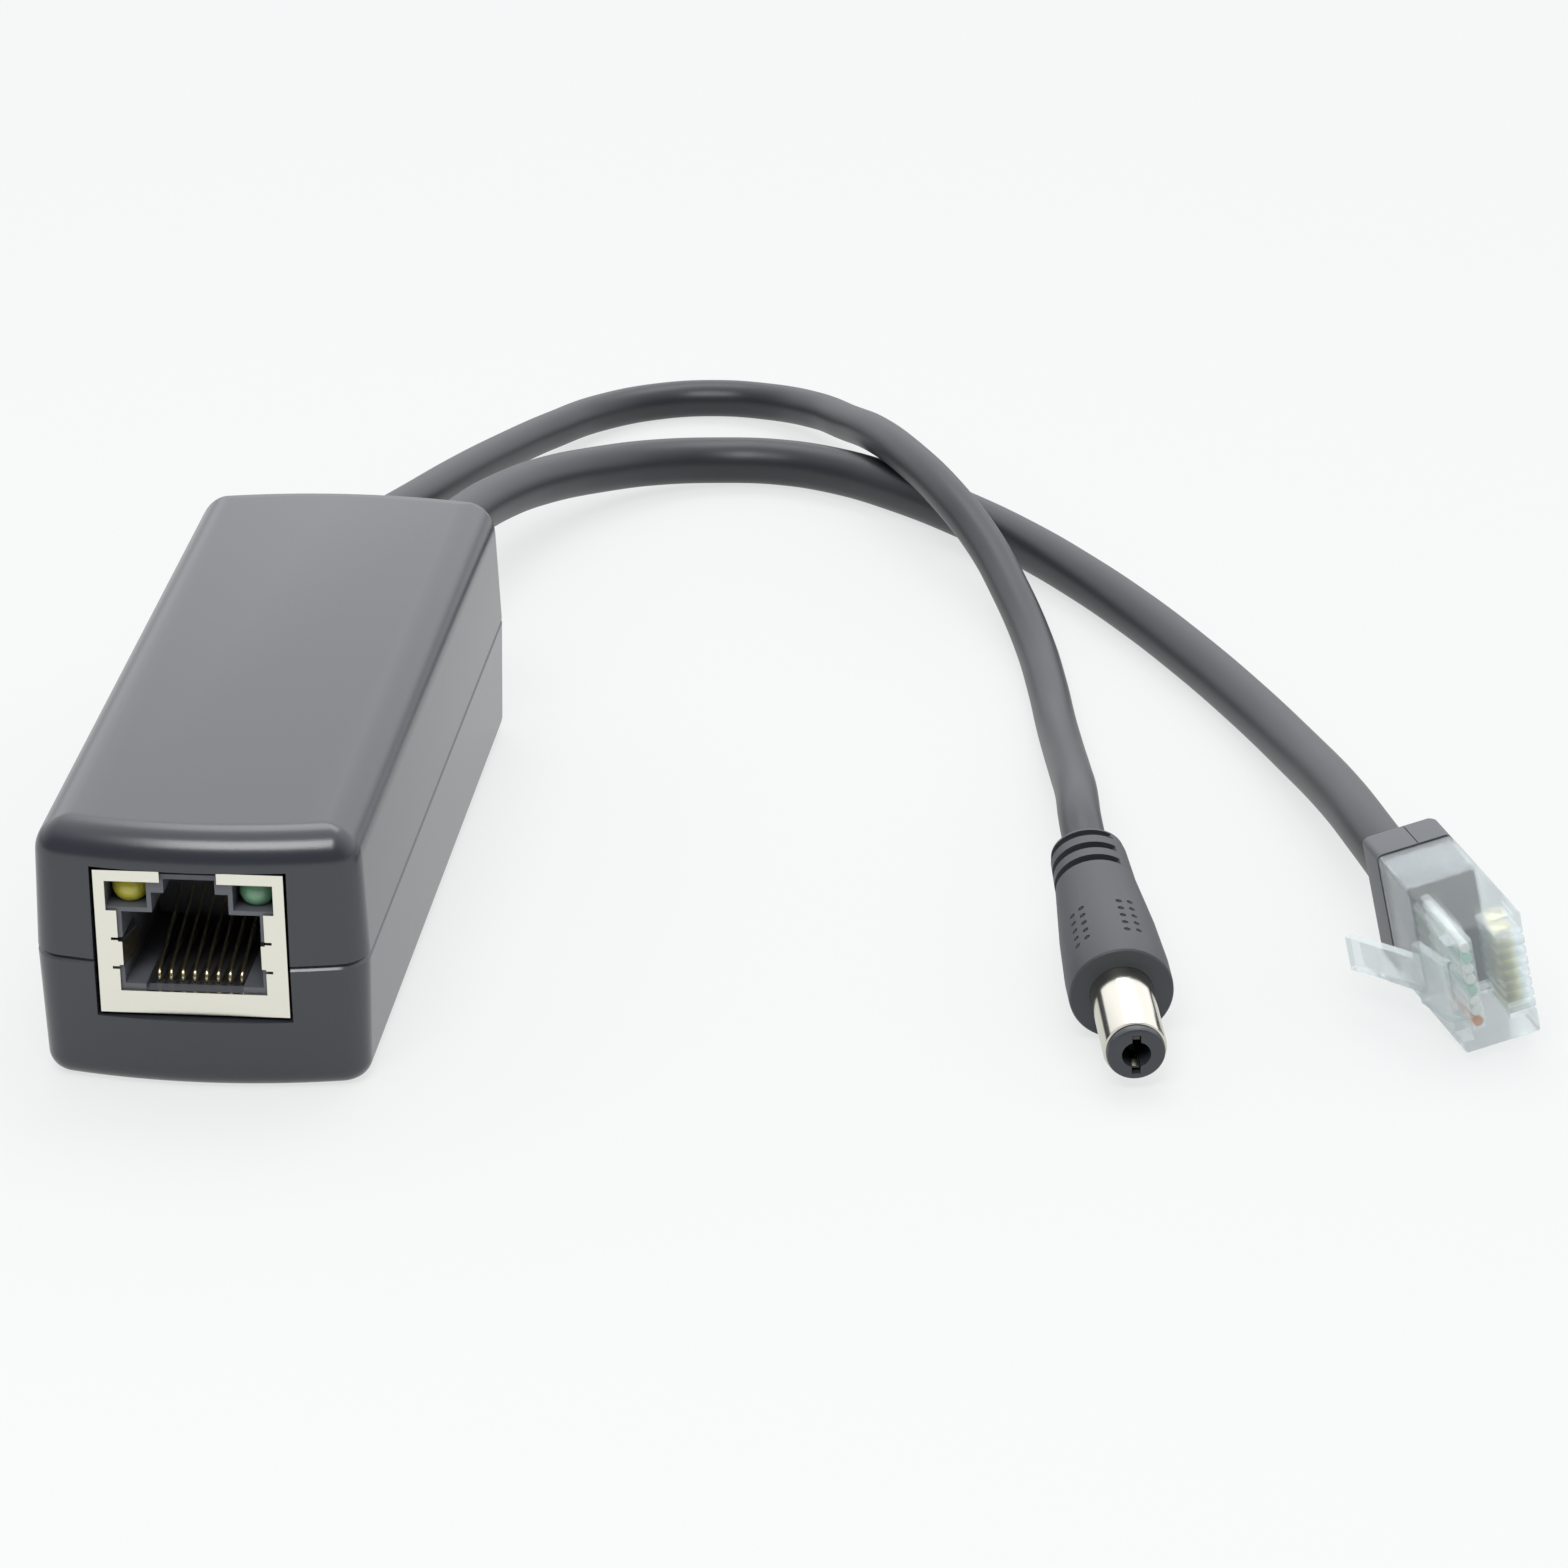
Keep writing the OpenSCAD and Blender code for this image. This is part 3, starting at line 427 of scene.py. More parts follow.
def moulded_jack_insert():
    """The insert's glass-filled nylon, greyer and duller than the plug's."""
    return material_of("Moulded grey nylon", "#5c5e64", Roughness=0.45, IOR=1.53)


def gold_plated_bronze():
    """Gold flash over phosphor bronze, polished by the stamping."""
    return material_of("Gold-plated bronze", "#f3e4b8", Metallic=1.0, Roughness=0.25)


def cast_epoxy_lens(name, colour):
    """Tinted epoxy cast round a lamp, clear and glossy."""
    return material_of(
        name,
        colour,
        Roughness=0.12,
        IOR=1.55,
        Subsurface_Weight=0.4,
        Subsurface_Scale=0.001,
        Coat_Weight=0.4,
    )


def satin_pvc_jacket():
    """PVC drawn over the wires of a cord: satin black with a soft highlight along it."""
    return material_of("Satin PVC jacket", colours().cord, grain=(0.5, 0.003), Roughness=0.4, IOR=1.53)


def moulded_grip_pvc():
    """PVC moulded round the plug's root, matt from a blasted tool."""
    return material_of("Moulded matt PVC", colours().grip, grain=(0.2, 0.006), Roughness=0.55, IOR=1.53)


def core_pvc_with_painted_gap_shade():
    """The boot's core of grey PVC, seen through the clear body, painted darker than its own grey as shade,
    so the gap where boot and clear body meet reads as a dark line.
    """
    return material_of("Core PVC with painted gap shade", "#2a2c2f", Roughness=0.5, IOR=1.53)


def moulded_boot_pvc():
    """Grey PVC moulded over the network plug's rear."""
    return material_of("Moulded grey PVC", colours().boot, grain=(0.3, 0.004), Roughness=0.5, IOR=1.53)


def moulded_clear_polycarbonate():
    """Clear polycarbonate, smooth as its polished mould. Its thin walls let most light straight through."""
    material = material_of(
        "Clear polycarbonate", "#f6fafb", Roughness=0.0, IOR=1.15, Transmission_Weight=0.75
    )
    tree = material.node_tree
    if len(tree.nodes) > 2:
        return material
    bulk = next(n for n in tree.nodes if n.type == "BSDF_PRINCIPLED")
    end = next(n for n in tree.nodes if n.type == "OUTPUT_MATERIAL")
    through = add(tree, "ShaderNodeBsdfTransparent", {"Color": linear("#f4f8f9")})
    both = add(
        tree, "ShaderNodeMixShader", {"Fac": 0.5, 1: through.outputs["BSDF"], 2: bulk.outputs["BSDF"]}
    )
    tree.links.new(both.outputs["Shader"], end.inputs["Surface"])
    return material


def solder_resist():
    """Green resist over a glass-fibre board."""
    return material_of("Green solder resist", "#2c6544", Roughness=0.35, IOR=1.5, Coat_Weight=0.3)


def moulded_epoxy(name="Moulded epoxy", colour="#242528"):
    """Epoxy moulded round a chip: dull and fine-grained."""
    return material_of(name, colour, grain=(0.12, 0.004), Roughness=0.6)


def sintered_ferrite():
    """Ferrite, pressed and fired: dark grey and dull."""
    return material_of("Sintered ferrite", "#3f4043", grain=(0.25, 0.01), Roughness=0.7)


def polyester_tape():
    """Yellow polyester tape over a winding."""
    return material_of("Polyester tape", "#d9c24a", Roughness=0.25)


def enamelled_copper():
    """Copper wire under clear enamel."""
    return material_of("Enamelled copper", "#c8743c", Metallic=1.0, Roughness=0.3)


def shrink_sleeve():
    """Dark blue sleeve shrunk over an aluminium can."""
    return material_of("Shrink sleeve", "#26335a", Roughness=0.22)


def dipped_epoxy():
    """A ceramic disc dipped in blue epoxy."""
    return material_of("Dipped blue epoxy", "#3c6cae", Roughness=0.28)


def fired_ceramic():
    """Small fired ceramic chips."""
    return material_of("Fired ceramic", "#b9a88c", Roughness=0.5)


def natural_nylon():
    """Natural nylon, slightly milky."""
    return material_of("Natural nylon", "#e9e8e0", Roughness=0.4)


def wire_sleeve(name, colour):
    """PVC drawn over a thin wire."""
    return material_of(name, colour, Roughness=0.35)


def seamless_paper():
    """Matt white paper. The camera, metal and glass see it evenly lit, with a soft shadow."""
    material = material_of("Pale seamless paper", colours().floor, Roughness=0.9, Specular_IOR_Level=0.2)
    tree = material.node_tree
    if len(tree.nodes) > 2:
        return material
    lit = next(n for n in tree.nodes if n.type == "BSDF_PRINCIPLED")
    end = next(n for n in tree.nodes if n.type == "OUTPUT_MATERIAL")
    path = add(tree, "ShaderNodeLightPath").outputs
    mirrored = add(
        tree,
        "ShaderNodeMath",
        {0: path["Is Glossy Ray"], 1: path["Is Transmission Ray"]},
        operation="MAXIMUM",
    )
    seen = add(
        tree,
        "ShaderNodeMath",
        {0: path["Is Camera Ray"], 1: mirrored.outputs["Value"]},
        operation="MAXIMUM",
    )
    even = add(tree, "ShaderNodeEmission", {"Color": linear("#f8fbfa"), "Strength": PAPER_GLOW})
    share = add(tree, "ShaderNodeBsdfDiffuse", {"Color": (PAPER_SHADE, PAPER_SHADE, PAPER_SHADE, 1.0)})
    both = add(tree, "ShaderNodeAddShader", {0: even.outputs["Emission"], 1: share.outputs["BSDF"]})
    mixed = add(
        tree,
        "ShaderNodeMixShader",
        {"Fac": seen.outputs["Value"], 1: lit.outputs["BSDF"], 2: both.outputs["Shader"]},
    )
    tree.links.new(mixed.outputs["Shader"], end.inputs["Surface"])
    return material


# Pieces


class PlaceCamera(bpy.types.Operator):
    """Places the camera where the photograph was taken from."""

    bl_idname = "splitter.place_camera"
    bl_label = "Camera"

    def execute(self, context):
        camera = bpy.data.cameras.new("camera")
        camera.sensor_width = SENSOR_MM
        camera.lens = FOCAL_PIXELS / PHOTO_PIXELS * SENSOR_MM
        camera.clip_start = 0.01
        camera.clip_end = 50
        holder = bpy.data.objects.new("camera", camera)
        context.scene.collection.objects.link(holder)
        # Fitted to the photograph: the place in mm, then yaw, tilt and roll in degrees
        at = Vector((109.556, -518.016, 250.916)) * MM
        holder.matrix_world = placed(at, 7.0560, 24.5834, -1.1047)
        context.scene.camera = holder
        return {"FINISHED"}


class LayCords(bpy.types.Operator):
    """Lays both cords along their routes."""

    bl_idname = "splitter.lay_cords"
    bl_label = "Cords"

    def execute(self, context):
        sizes = context.scene.splitter_cords
        cords = [
            ("power_cord", POWER_ROUTE, sizes.power_d, "dc_cord"),
            ("network_cord", DATA_ROUTE, sizes.data_d, "data_cord"),
        ]
        for name, route, diameter, node in cords:
            curve = bpy.data.curves.new(name, "CURVE")
            curve.dimensions = "3D"
            curve.bevel_depth = diameter / 2 * MM
            curve.bevel_resolution = 8
            curve.resolution_u = 8
            curve.use_fill_caps = True
            spline = curve.splines.new("BEZIER")
            spline.bezier_points.add(len(route) - 1)
            for point, at in zip(spline.bezier_points, route):
                point.co = Vector(at) * MM
                point.handle_left_type = point.handle_right_type = "AUTO"
            curve.materials.append(satin_pvc_jacket())
            piece = bpy.data.objects.new(name, curve)
            context.scene.collection.objects.link(piece)
            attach(piece, "root")
            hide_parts(node)
        return {"FINISHED"}


def end_outline(sizes, inset, corner_steps=10, bow_steps=20):
    """One bowed end of the housing's outline, drawn inset inside the parting line's."""
    rise = sizes.bow
    end_radius = ((sizes.width / 2) ** 2 + rise**2) / (2 * rise)
    half = sizes.width / 2 - inset
    radius = end_radius - inset
    corner = max(sizes.corner - inset, 0.4)
    centre_y = sizes.length / 2 + rise - end_radius
    flat_x = half - corner
    flat_y = centre_y + math.sqrt((radius - corner) ** 2 - flat_x**2)
    turn = math.atan2(flat_y - centre_y, flat_x)
    points = []
    for i in range(corner_steps + 1):
        a = turn * i / corner_steps
        points.append((flat_x + corner * math.cos(a), flat_y + corner * math.sin(a)))
    for i in range(1, bow_steps):
        a = turn + (math.pi - 2 * turn) * i / bow_steps
        points.append((radius * math.cos(a), centre_y + radius * math.sin(a)))
    for i in range(corner_steps + 1):
        a = turn * (corner_steps - i) / corner_steps
        points.append((-flat_x - corner * math.cos(a), flat_y + corner * math.sin(a)))
    return points


def outline(sizes, inset, z):
    """The housing's whole outline at one height, drawn inset inside the parting line's."""
    end = end_outline(sizes, inset)
    return [(x, y, z) for x, y in end] + [(-x, -y, z) for x, y in end]


def shell(sizes, rim_z, edge_z, edge_radius, inner_z):
    """One shell, from the inside of its flat out over the rim and up or down to its outer flat."""
    up = 1 if edge_z > rim_z else -1
    inner = sizes.wall + sizes.draft
    rings = [outline(sizes, inner, inner_z), outline(sizes, inner, rim_z)]
    rings += [outline(sizes, sizes.seam, rim_z), outline(sizes, 0, rim_z + up * sizes.seam)]
    steps = 10
    for i in range(steps + 1):
        a = math.pi / 2 * i / steps
        z = edge_z - up * edge_radius * (1 - math.sin(a))
        rings.append(outline(sizes, sizes.draft + edge_radius * (1 - math.cos(a)), z))
    return loft(rings)


class BuildHousing(bpy.types.Operator):
    """Builds the upper and the lower shell."""

    bl_idname = "splitter.build_housing"
    bl_label = "Housing"

    def execute(self, context):
        sizes = context.scene.splitter_housing
        cords = context.scene.splitter_cords
        end_y = sizes.length / 2 + sizes.bow
        part_z = sizes.part_z
        ceiling = sizes.height - sizes.wall
        hole_half, hole_low, hole_high = 8.45, JACK_Z - 0.3, JACK_Z + 13.6
        cord_gap = 0.2
        # A rib behind the rear wall holds each cord's tie
        rib_y, rib_t, rib_gap = end_y - 5.9, 1.2, 0.05
        rib_half = sizes.width / 2 - sizes.wall - sizes.draft - 0.5
        shells = [
            (
                "housing_top",
                shell(sizes, part_z, sizes.height, sizes.top_edge, ceiling),
                "upper_shell",
                (part_z + rib_gap, ceiling + 0.5),
            ),
            (
                "housing_base",
                shell(sizes, part_z, 0, sizes.low_edge, sizes.wall),
                "lower_shell",
                (sizes.wall - 0.5, part_z - rib_gap),
            ),
        ]
        for name, bm, node, (rib_low, rib_high) in shells:
            hole = block((JACK_X - hole_half, -end_y - 1, hole_low), (JACK_X + hole_half, -30, hole_high))
            ways = [
                rod((x, 28, part_z), (x, end_y + 1, part_z), d / 2 + cord_gap, 48)
                for x, d in ((POWER_ROUTE[0][0], cords.power_d), (DATA_ROUTE[0][0], cords.data_d))
            ]
            rib = block((-rib_half, rib_y - rib_t, rib_low), (rib_half, rib_y, rib_high))
            bm = boolean(bm, rib, "UNION")
            for cutter in (hole, *ways):
                bm = boolean(bm, cutter)
            finish_piece(bm, name, spark_textured_abs(), [node])
        return {"FINISHED"}


class BuildJack(bpy.types.Operator):
    """Finishes the network jack: shield, insert, contacts and lamps."""

    bl_idname = "splitter.build_jack"
    bl_label = "Network jack"

    def execute(self, context):
        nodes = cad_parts
        dress(nodes["jack_shield"], nickel_plated_sheet())
        dress(nodes["jack_housing"], moulded_jack_insert())
        # Each contact is a sprung wire that bends up at the front and slopes back.
        # Its points are (distance behind the jack's front, height over its underside).
        bend = [
            (16.5, -3.04), (16.5, 1.3), (3.2, 1.5), (1.85, 2.2),
            (2.05, 2.95), (2.9, 3.25), (12.6, 6.1),
        ]
        wires = []
        for row in contact_rows():
            path = [(JACK_X + 0.2 + row, JACK_Y + y, JACK_Z + z) for y, z in bend]
            wires.append(swept(rounded(path, 0.5), 0.17))
        finish_piece(joined(*wires), "jack_wires", gold_plated_bronze(), ["jack_contacts"])

        # Each lamp is a domed lens, cut flat above and below
        lens_r, lens_l, flat_half, lamp_x = 1.6, 4.5, 1.24, 5.45
        turns = [math.radians(9 * i) for i in range(11)]
        dome = [(lens_r * math.sin(a), lens_r - lens_r * math.cos(a)) for a in turns]
        for colour, side, tinted in (("yellow", -1, "#b9b13a"), ("green", 1, "#6c9a78")):
            name = f"{colour}_lamp"
            bm = turned([*dome, (lens_r, lens_l), (0, lens_l)], closed=False)
            bm = boolean(bm, block((-2, -flat_half, -1), (2, flat_half, 5)), "INTERSECT")
            place = placed((JACK_X + side * lamp_x, JACK_Y + 0.9, JACK_Z + 11), 0, 0)
            place = place @ Matrix.Rotation(math.pi, 4, "Y")
            material = cast_epoxy_lens(f"Cast epoxy {name}", tinted)
            finish_piece(bm, name, material, [f"jack_lamp_{colour}"], place)
        return {"FINISHED"}


def contact_rows():
    """How far each of the eight contacts is from the middle of its row."""
    return [(i - 3.5) * CONTACT_PITCH for i in range(8)]


def dress(node, material):
    """Gives a CAD node a better material and leaves its mesh as it is."""
    for slot in node.material_slots:
        slot.material = material
    if not node.material_slots:
        node.data.materials.append(material)


class DressBoard(bpy.types.Operator):
    """Gives the board and everything on it its finish."""

    bl_idname = "splitter.dress_board"
    bl_label = "Circuit board"

    def execute(self, context):
        finishes = {
            "circuit_board": solder_resist(),
            "data_transformer": moulded_epoxy(),
            "bridge_rectifier_1": moulded_epoxy(),
            "bridge_rectifier_2": moulded_epoxy(),
            "transformer_core": sintered_ferrite(),
            "transformer_bobbin": moulded_black_nylon(),
            "transformer_winding": polyester_tape(),
            "input_capacitor": shrink_sleeve(),
            "output_capacitor_1": shrink_sleeve(),
            "output_capacitor_2": shrink_sleeve(),
            "choke_core": sintered_ferrite(),
            "choke_winding": enamelled_copper(),
            "controller_chip": moulded_epoxy(),
            "optocoupler": moulded_epoxy("Moulded white epoxy", "#e8e8e4"),
            "rectifier_diode": moulded_epoxy(),
            "safety_capacitor": dipped_epoxy(),
            "small_chip_parts": fired_ceramic(),
            "dc_cord_tie": natural_nylon(),
            "data_cord_tie": natural_nylon(),
            "dc_leads": wire_sleeve("Red wire sleeve", "#b0302a"),
            "data_leads": wire_sleeve("Orange wire sleeve", "#cf7f3c"),
        }
        for name, material in finishes.items():
            dress(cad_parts[name], material)
        return {"FINISHED"}


def oval(width, height, z, sides, cut=None):
    """An oval ring. Cut is (radius, spans of degrees) where a slot goes in."""
    points = []
    for k in range(sides):
        a = math.tau * k / sides
        x, y = width / 2 * math.cos(a), height / 2 * math.sin(a)
        if cut and any(low < math.degrees(a) < high for low, high in cut[1]):
            share = min(1, cut[0] / math.hypot(x, y))
            x, y = x * share, y * share
        points.append((x, y, z))
    return points


class BuildPowerPlug(bpy.types.Operator):
    """Builds the power plug: grip, barrel, insulator and contact springs."""

    bl_idname = "splitter.build_power_plug"
    bl_label = "Power plug"

    def execute(self, context):
        sizes = context.scene.splitter_plugs
        grip_l, grip_d = sizes.grip_l, sizes.grip_d
        neck_w, neck_t, seat = 6.8, 5.6, 4
        # Distance from the rear, width and thickness
        sections = [
            (0, neck_w - 2, neck_t - 2),
            (0.3, neck_w - 1, neck_t - 1),
            (0.9, neck_w - 0.3, neck_t - 0.3),
            (2, neck_w, neck_t),
            (7, neck_w + 0.4, neck_t + 0.5),
            (15, grip_d - 0.6, grip_d - 0.9),
            (grip_l - 3, grip_d, grip_d),
            (grip_l - 0.5, grip_d, grip_d),
            (grip_l - 0.15, grip_d - 0.06, grip_d - 0.06),
            (grip_l, grip_d - 0.35, grip_d - 0.35),
        ]

        def at(z):
            for (z0, w0, t0), (z1, w1, t1) in zip(sections, sections[1:]):
                if z <= z1:
                    share = (z - z0) / (z1 - z0)
                    return w0 + (w1 - w0) * share, t0 + (t1 - t0) * share
            return sections[-1][1:]

        # Three slots on each side let the grip flex. They stop short of a web
        # between them, which is turned a little round the grip.
        sides, slot_w, slot_start, slot_pitch, slot_edge = 96, 1.05, 1.2, 2.3, 0.03
        slot = (neck_t / 2 - 0.9, ((56, 190), (236, 360), (-1, 10)))
        rows = [(z, False) for z, _, _ in sections]
        for i in range(3):
            z = slot_start + slot_pitch * i
            rows += [(z, False), (z + slot_edge, True), (z + slot_w - slot_edge, True), (z + slot_w, False)]
        rows = sorted(rows)
        grip = loft([oval(*at(z), z, sides, slot if cut else None) for z, cut in rows])

        # Six groups of small dimples, in two columns each
        first_dimple, dimple_pitch, dimple_r, group_turn, column_turn = 15.3, 1.3, 0.34, 12, 7
        pits = []
        for group in range(6):
            for column in (-1, 1):
                for row in range(5):
                    z = first_dimple + row * dimple_pitch + 0.1 * column
                    width, thickness = at(z)
                    a = math.radians(group_turn + 60 * group + column * column_turn)
                    pit = bmesh.new()
                    bmesh.ops.create_icosphere(pit, subdivisions=1, radius=dimple_r)
                    spot = (width / 2 * math.cos(a), thickness / 2 * math.sin(a), z)
                    bmesh.ops.translate(pit, vec=spot, verts=pit.verts)
                    pits.append(pit)
        grip = boolean(grip, joined(*pits))

        # A seat in the grip's front takes the root of the barrel
        r, wall, flare, gap = sizes.barrel_d / 2, 0.4, 0.5, 0.02
        seat_hole = [
            (0, grip_l - seat),
            (r + flare + gap, grip_l - seat),
            (r + gap, grip_l + 0.01),
            (0, grip_l + 0.01),
        ]
        grip = boolean(grip, turned(seat_hole, closed=False))
        finish_piece(grip, "power_plug_grip", moulded_grip_pvc(), ["dc_plug_grip"], POWER_PLUG)

        # The barrel widens to a cone inside the grip, which holds it
        flange_l, turns = 0.8, 96
        root, end = grip_l - seat + gap, grip_l + sizes.barrel_l + gap
        tip = end - flange_l
        barrel = [
            (r - wall, root),
            (r + flare, root),
            (r, grip_l + gap),
            (r, tip - 0.25),
            (r - 0.07, tip - 0.07),
            (r - 0.25, tip),
            (r - wall, tip),
        ]
        metal = nickel_plated_turned_brass()
        finish_piece(turned(barrel, turns), "power_plug_barrel", metal,
                     ["dc_plug_barrel"], POWER_PLUG)

        inner, flange_r = r - wall - gap, r - wall - gap + 0.2
        insulator = [
            (0, root),
            (inner, root),
            (inner, tip + 0.1),
            (flange_r, tip + 0.1),
            (flange_r, end - 0.3),
            (flange_r - 0.09, end - 0.1),
            (inner - 0.1, end),
            (0, end),
        ]
        hole, slot_half, slot_depth, hole_root = sizes.pin_hole_d / 2, 0.38, 0.65, root + 2
        insulator = boolean(
            turned(insulator, turns, closed=False), rod((0, 0, hole_root), (0, 0, end + 1), hole, 48)
        )
        slot_y = hole + slot_depth
        insulator = boolean(
            insulator, block((-slot_half, -slot_y, hole_root), (slot_half, slot_y, end + 1))
        )
        finish_piece(insulator, "power_plug_insulator", moulded_black_nylon(),
                     ["dc_plug_insulator"], POWER_PLUG)

        # Each spring's points are (distance behind the face, distance outside the hole's edge)
        bend = ((9, 0.4), (4, 0.3), (1.6, -0.3), (0.4, 0.2))
        springs = []
        for side in (-1, 1):
            path = [(0.3, side * (hole + y), end - z) for z, y in bend]
            springs.append(ribbon(rounded(path, 1.5), (-0.6, 0, 0), 0.25))
        finish_piece(joined(*springs), "power_plug_springs", metal,
                     ["dc_plug_contact"], POWER_PLUG)
        return {"FINISHED"}


def squared_ring(half_x, half_y, corner, z, steps=5):
    """A ring round a rectangle with rounded corners."""
    points = []
    for k, (sx, sy) in enumerate(((1, 1), (-1, 1), (-1, -1), (1, -1))):
        for i in range(steps + 1):
            a = math.pi / 2 * (k + i / steps)
            x = sx * (half_x - corner) + corner * math.cos(a)
            y = sy * (half_y - corner) + corner * math.sin(a)
            points.append((x, y, z))
    return points


class BuildNetworkPlug(bpy.types.Operator):
    """Builds the network plug: boot, clear body with its latch, blades and wires."""

    bl_idname = "splitter.build_network_plug"
    bl_label = "Network plug"

    def execute(self, context):
        boot_l = context.scene.splitter_plugs.boot_l
        half_x, half_y, nose = 3.5, 5.84, boot_l + 17.4
        core_half_x, core_half_y, core_l, room = 3.1, 5.44, 6.9, 0.05

        # Distance from the rear, and how far the boot's ring is drawn in there
        rows = [(0, 0.6), (0.12, 0.3), (0.4, 0.1), (0.9, 0.0), (boot_l - 0.05, 0)]
        boot = loft([squared_ring(half_x - e, half_y - e, 0.6 + 0.6 * e, z) for z, e in rows])
        # The line where the two halves of the boot's mould met, along its upper side
        seam_x, seam_w, seam_depth = 0.36, 0.12, 0.1
        seam = block((seam_x, half_y - seam_depth, -1), (seam_x + seam_w, half_y + 1, boot_l + 1))
        boot = boolean(boot, seam)
        # The core's dark grey is painted shade, which shows as a dark line in the gap between the boot and
        # the clear body
        core = block(
            (-core_half_x, -core_half_y, boot_l - 0.5), (core_half_x, core_half_y, boot_l + core_l), 0.4
        )
        for face in core.faces:
            face.material_index = 1
        finish_piece(joined(boot, core), "network_plug_boot", [moulded_boot_pvc(), core_pvc_with_painted_gap_shade()],
                     ["data_plug_boot"], DATA_PLUG)

        # The clear body has a room for the core, a way for the wires, a hollow on
        # each side of the latch and a slot for each blade
        body = block((-half_x, -half_y, boot_l + 0.12), (half_x - 0.1, half_y, nose), 0.3, 3)
        room_x, room_y = core_half_x + room, core_half_y + room
        way_half, hollow_in, hollow_out, hollow_l = 4.24, 2.64, 4.64, 2.2
        cuts = [
            block((-room_x, -room_y, boot_l - 0.5), (room_x, room_y, boot_l + core_l + 0.1)),
            block((-2.3, -way_half, boot_l + 2), (-1.1, way_half, nose - 0.8)),
            block((-4, -hollow_out, nose - hollow_l), (-2.6, -hollow_in, nose + 0.5)),
            block((-4, hollow_in, nose - hollow_l), (-2.6, hollow_out, nose + 0.5)),
        ]
        slot_half, slot_l, blade_half, blade_start, blade_end = 0.25, 5.6, 0.16, 5, 2
        for y in contact_rows():
            cuts.append(block((0.9, y - slot_half, nose - slot_l), (3.8, y + slot_half, nose + 0.6)))
        for cutter in cuts:
            body = boolean(body, cutter)

        # The latch: a wide tongue with shoulders, then a narrow lever
        latch_t, tongue_half, lever_half = 0.8, 2.9, 1.6
        tongue_bend = ((-3.4, nose - 0.6), (-3.85, nose - 1.2), (-4.6, nose - 5.8))
        lever_bend = ((-4.4, nose - 4.8), (-5.1, nose - 6.4), (-8.4, boot_l + 4.4))
        for bend, half in ((tongue_bend, tongue_half), (lever_bend, lever_half)):
            path = rounded([(x, half, z) for x, z in bend], 1.0)
            body = boolean(body, ribbon(path, (0, -2 * half, 0), latch_t), "UNION")
        finish_piece(body, "network_plug_body", moulded_clear_polycarbonate(),
                     ["data_plug_body"], DATA_PLUG)

        blades = [
            block((1.2, y - blade_half, nose - blade_start), (3.0, y + blade_half, nose - blade_end), 0.05)
            for y in contact_rows()
        ]
        finish_piece(joined(*blades), "network_plug_blades", gold_plated_bronze(),
                     ["data_plug_blades"], DATA_PLUG)

        # Most wires are pale, the lowest is orange and two are green
        sleeves = [
            wire_sleeve("Pale wire sleeve", "#e6e2da"),
            wire_sleeve("Orange wire sleeve", "#cf7f3c"),
            wire_sleeve("Green wire sleeve", "#9cc4b0"),
        ]
        wire_x, wire_r = -1.7, 0.45
        wires = []
        for y, sleeve in zip(contact_rows(), (1, 0, 0, 2, 0, 0, 2, 0)):
            wire = rod((wire_x, y, boot_l + 7.1), (wire_x, y, nose - 0.9), wire_r, 16)
            for face in wire.faces:
                face.material_index = sleeve
            wires.append(wire)
        finish_piece(joined(*wires), "network_plug_wires", sleeves,
                     ["data_plug_wires"], DATA_PLUG)
        return {"FINISHED"}


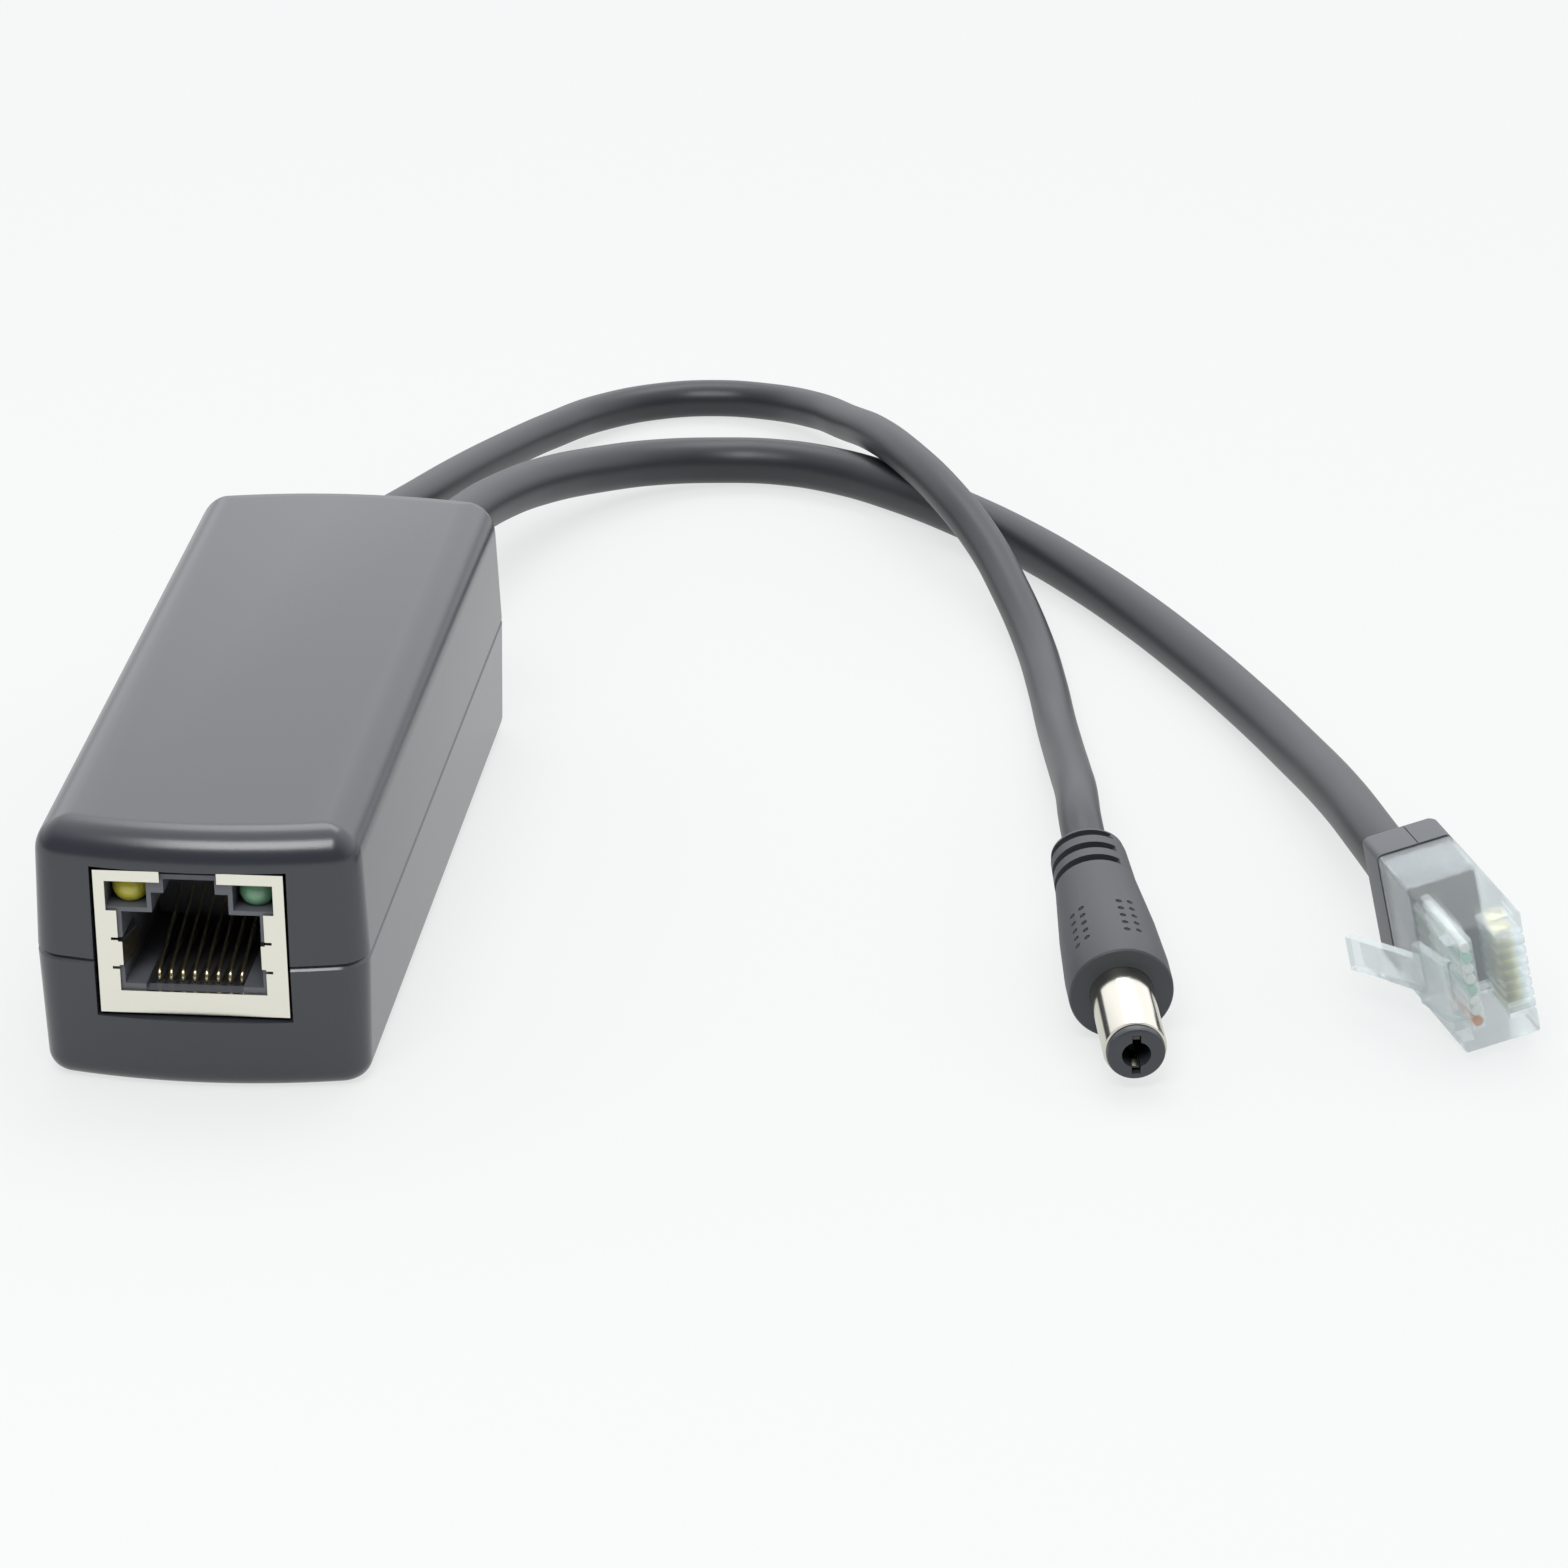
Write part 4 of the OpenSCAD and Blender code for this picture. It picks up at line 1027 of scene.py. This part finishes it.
class SetStage(bpy.types.Operator):
    """Sets the pale floor, the lamps and the light of the surroundings."""

    bl_idname = "splitter.set_stage"
    bl_label = "Stage"

    def execute(self, context):
        bm = bmesh.new()
        bmesh.ops.create_grid(bm, x_segments=1, y_segments=1, size=4)
        mesh = bpy.data.meshes.new("floor")
        bm.to_mesh(mesh)
        bm.free()
        floor = bpy.data.objects.new("floor", mesh)
        context.scene.collection.objects.link(floor)
        mesh.materials.append(seamless_paper())

        lamps = [
            # Name, place, size across and up, watts
            ("front box", (-0.01, -0.38, 0.59), (0.38, 0.28), 2.75),
            ("rear box", (0.05, 0.35, 0.66), (0.5, 0.35), 1.55),
        ]
        for name, at, (across, up), watts in lamps:
            light = bpy.data.lights.new(name, "AREA")
            light.shape = "RECTANGLE"
            light.size, light.size_y = across, up
            light.energy = watts
            holder = bpy.data.objects.new(name, light)
            context.scene.collection.objects.link(holder)
            holder.location = at
            holder.rotation_euler = (-Vector(at)).to_track_quat("-Z", "Y").to_euler()

        world = bpy.data.worlds.new("tent")
        context.scene.world = world
        world.use_nodes = True
        tree = world.node_tree
        tree.nodes.clear()
        # Bright walls behind and beside, a dark room behind the camera, and a dark
        # strip where the walls begin
        spots = add(tree, "ShaderNodeTexCoord")
        brightest = (0.1, 0.9, 0.35)
        towards = add(
            tree,
            "ShaderNodeVectorMath",
            {0: spots.outputs["Generated"], 1: brightest},
            operation="DOT_PRODUCT",
        )
        walls = {"From Min": -0.35, "From Max": 0.6, "To Min": 0.1, "To Max": 1.65}
        level = add(tree, "ShaderNodeMapRange", {"Value": towards.outputs["Value"], **walls})
        height = add(tree, "ShaderNodeSeparateXYZ", {"Vector": spots.outputs["Generated"]})
        foot = {"From Min": 0.0, "From Max": 0.16, "To Min": 0.25, "To Max": 1.0}
        strip = add(tree, "ShaderNodeMapRange", {"Value": height.outputs["Z"], **foot})
        strength = add(
            tree,
            "ShaderNodeMath",
            {0: level.outputs["Result"], 1: strip.outputs["Result"]},
            operation="MULTIPLY",
        )
        light = add(
            tree,
            "ShaderNodeBackground",
            {"Color": linear("#fbfcff"), "Strength": strength.outputs["Value"]},
        )
        add(tree, "ShaderNodeOutputWorld", {"Surface": light.outputs["Background"]})
        context.scene.view_settings.view_transform = "Standard"
        return {"FINISHED"}


PIECES = (LayCords, BuildHousing, BuildJack, DressBoard, BuildPowerPlug, BuildNetworkPlug)


class SplitterPanel(bpy.types.Panel):
    """Lists the sizes, the finishes and the steps that build the splitter."""

    bl_idname = "VIEW3D_PT_splitter"
    bl_label = "Splitter"
    bl_space_type = "VIEW_3D"
    bl_region_type = "UI"
    bl_category = "Splitter"

    def draw(self, context):
        for _, name in GROUPS:
            group = getattr(context.scene, name)
            box = self.layout.box()
            for key in group.__annotations__:
                box.prop(group, key)
        for step in (PlaceCamera, *PIECES, SetStage):
            self.layout.operator(step.bl_idname)


GROUPS = (
    (HousingSizes, "splitter_housing"),
    (CordSizes, "splitter_cords"),
    (PlugSizes, "splitter_plugs"),
    (Finishes, "splitter_finishes"),
)


def register():
    for group, name in GROUPS:
        bpy.utils.register_class(group)
        setattr(bpy.types.Scene, name, PointerProperty(type=group))
    for kind in (PlaceCamera, *PIECES, SetStage, SplitterPanel):
        bpy.utils.register_class(kind)


def unregister():
    for kind in (SplitterPanel, SetStage, *reversed(PIECES), PlaceCamera):
        bpy.utils.unregister_class(kind)
    for group, name in reversed(GROUPS):
        delattr(bpy.types.Scene, name)
        bpy.utils.unregister_class(group)


def main():
    register()
    bpy.ops.splitter.place_camera()
    bpy.ops.splitter.lay_cords()
    bpy.ops.splitter.build_housing()
    bpy.ops.splitter.build_jack()
    bpy.ops.splitter.dress_board()
    bpy.ops.splitter.build_power_plug()
    bpy.ops.splitter.build_network_plug()
    bpy.ops.splitter.set_stage()


if __name__ == "__main__":
    main()
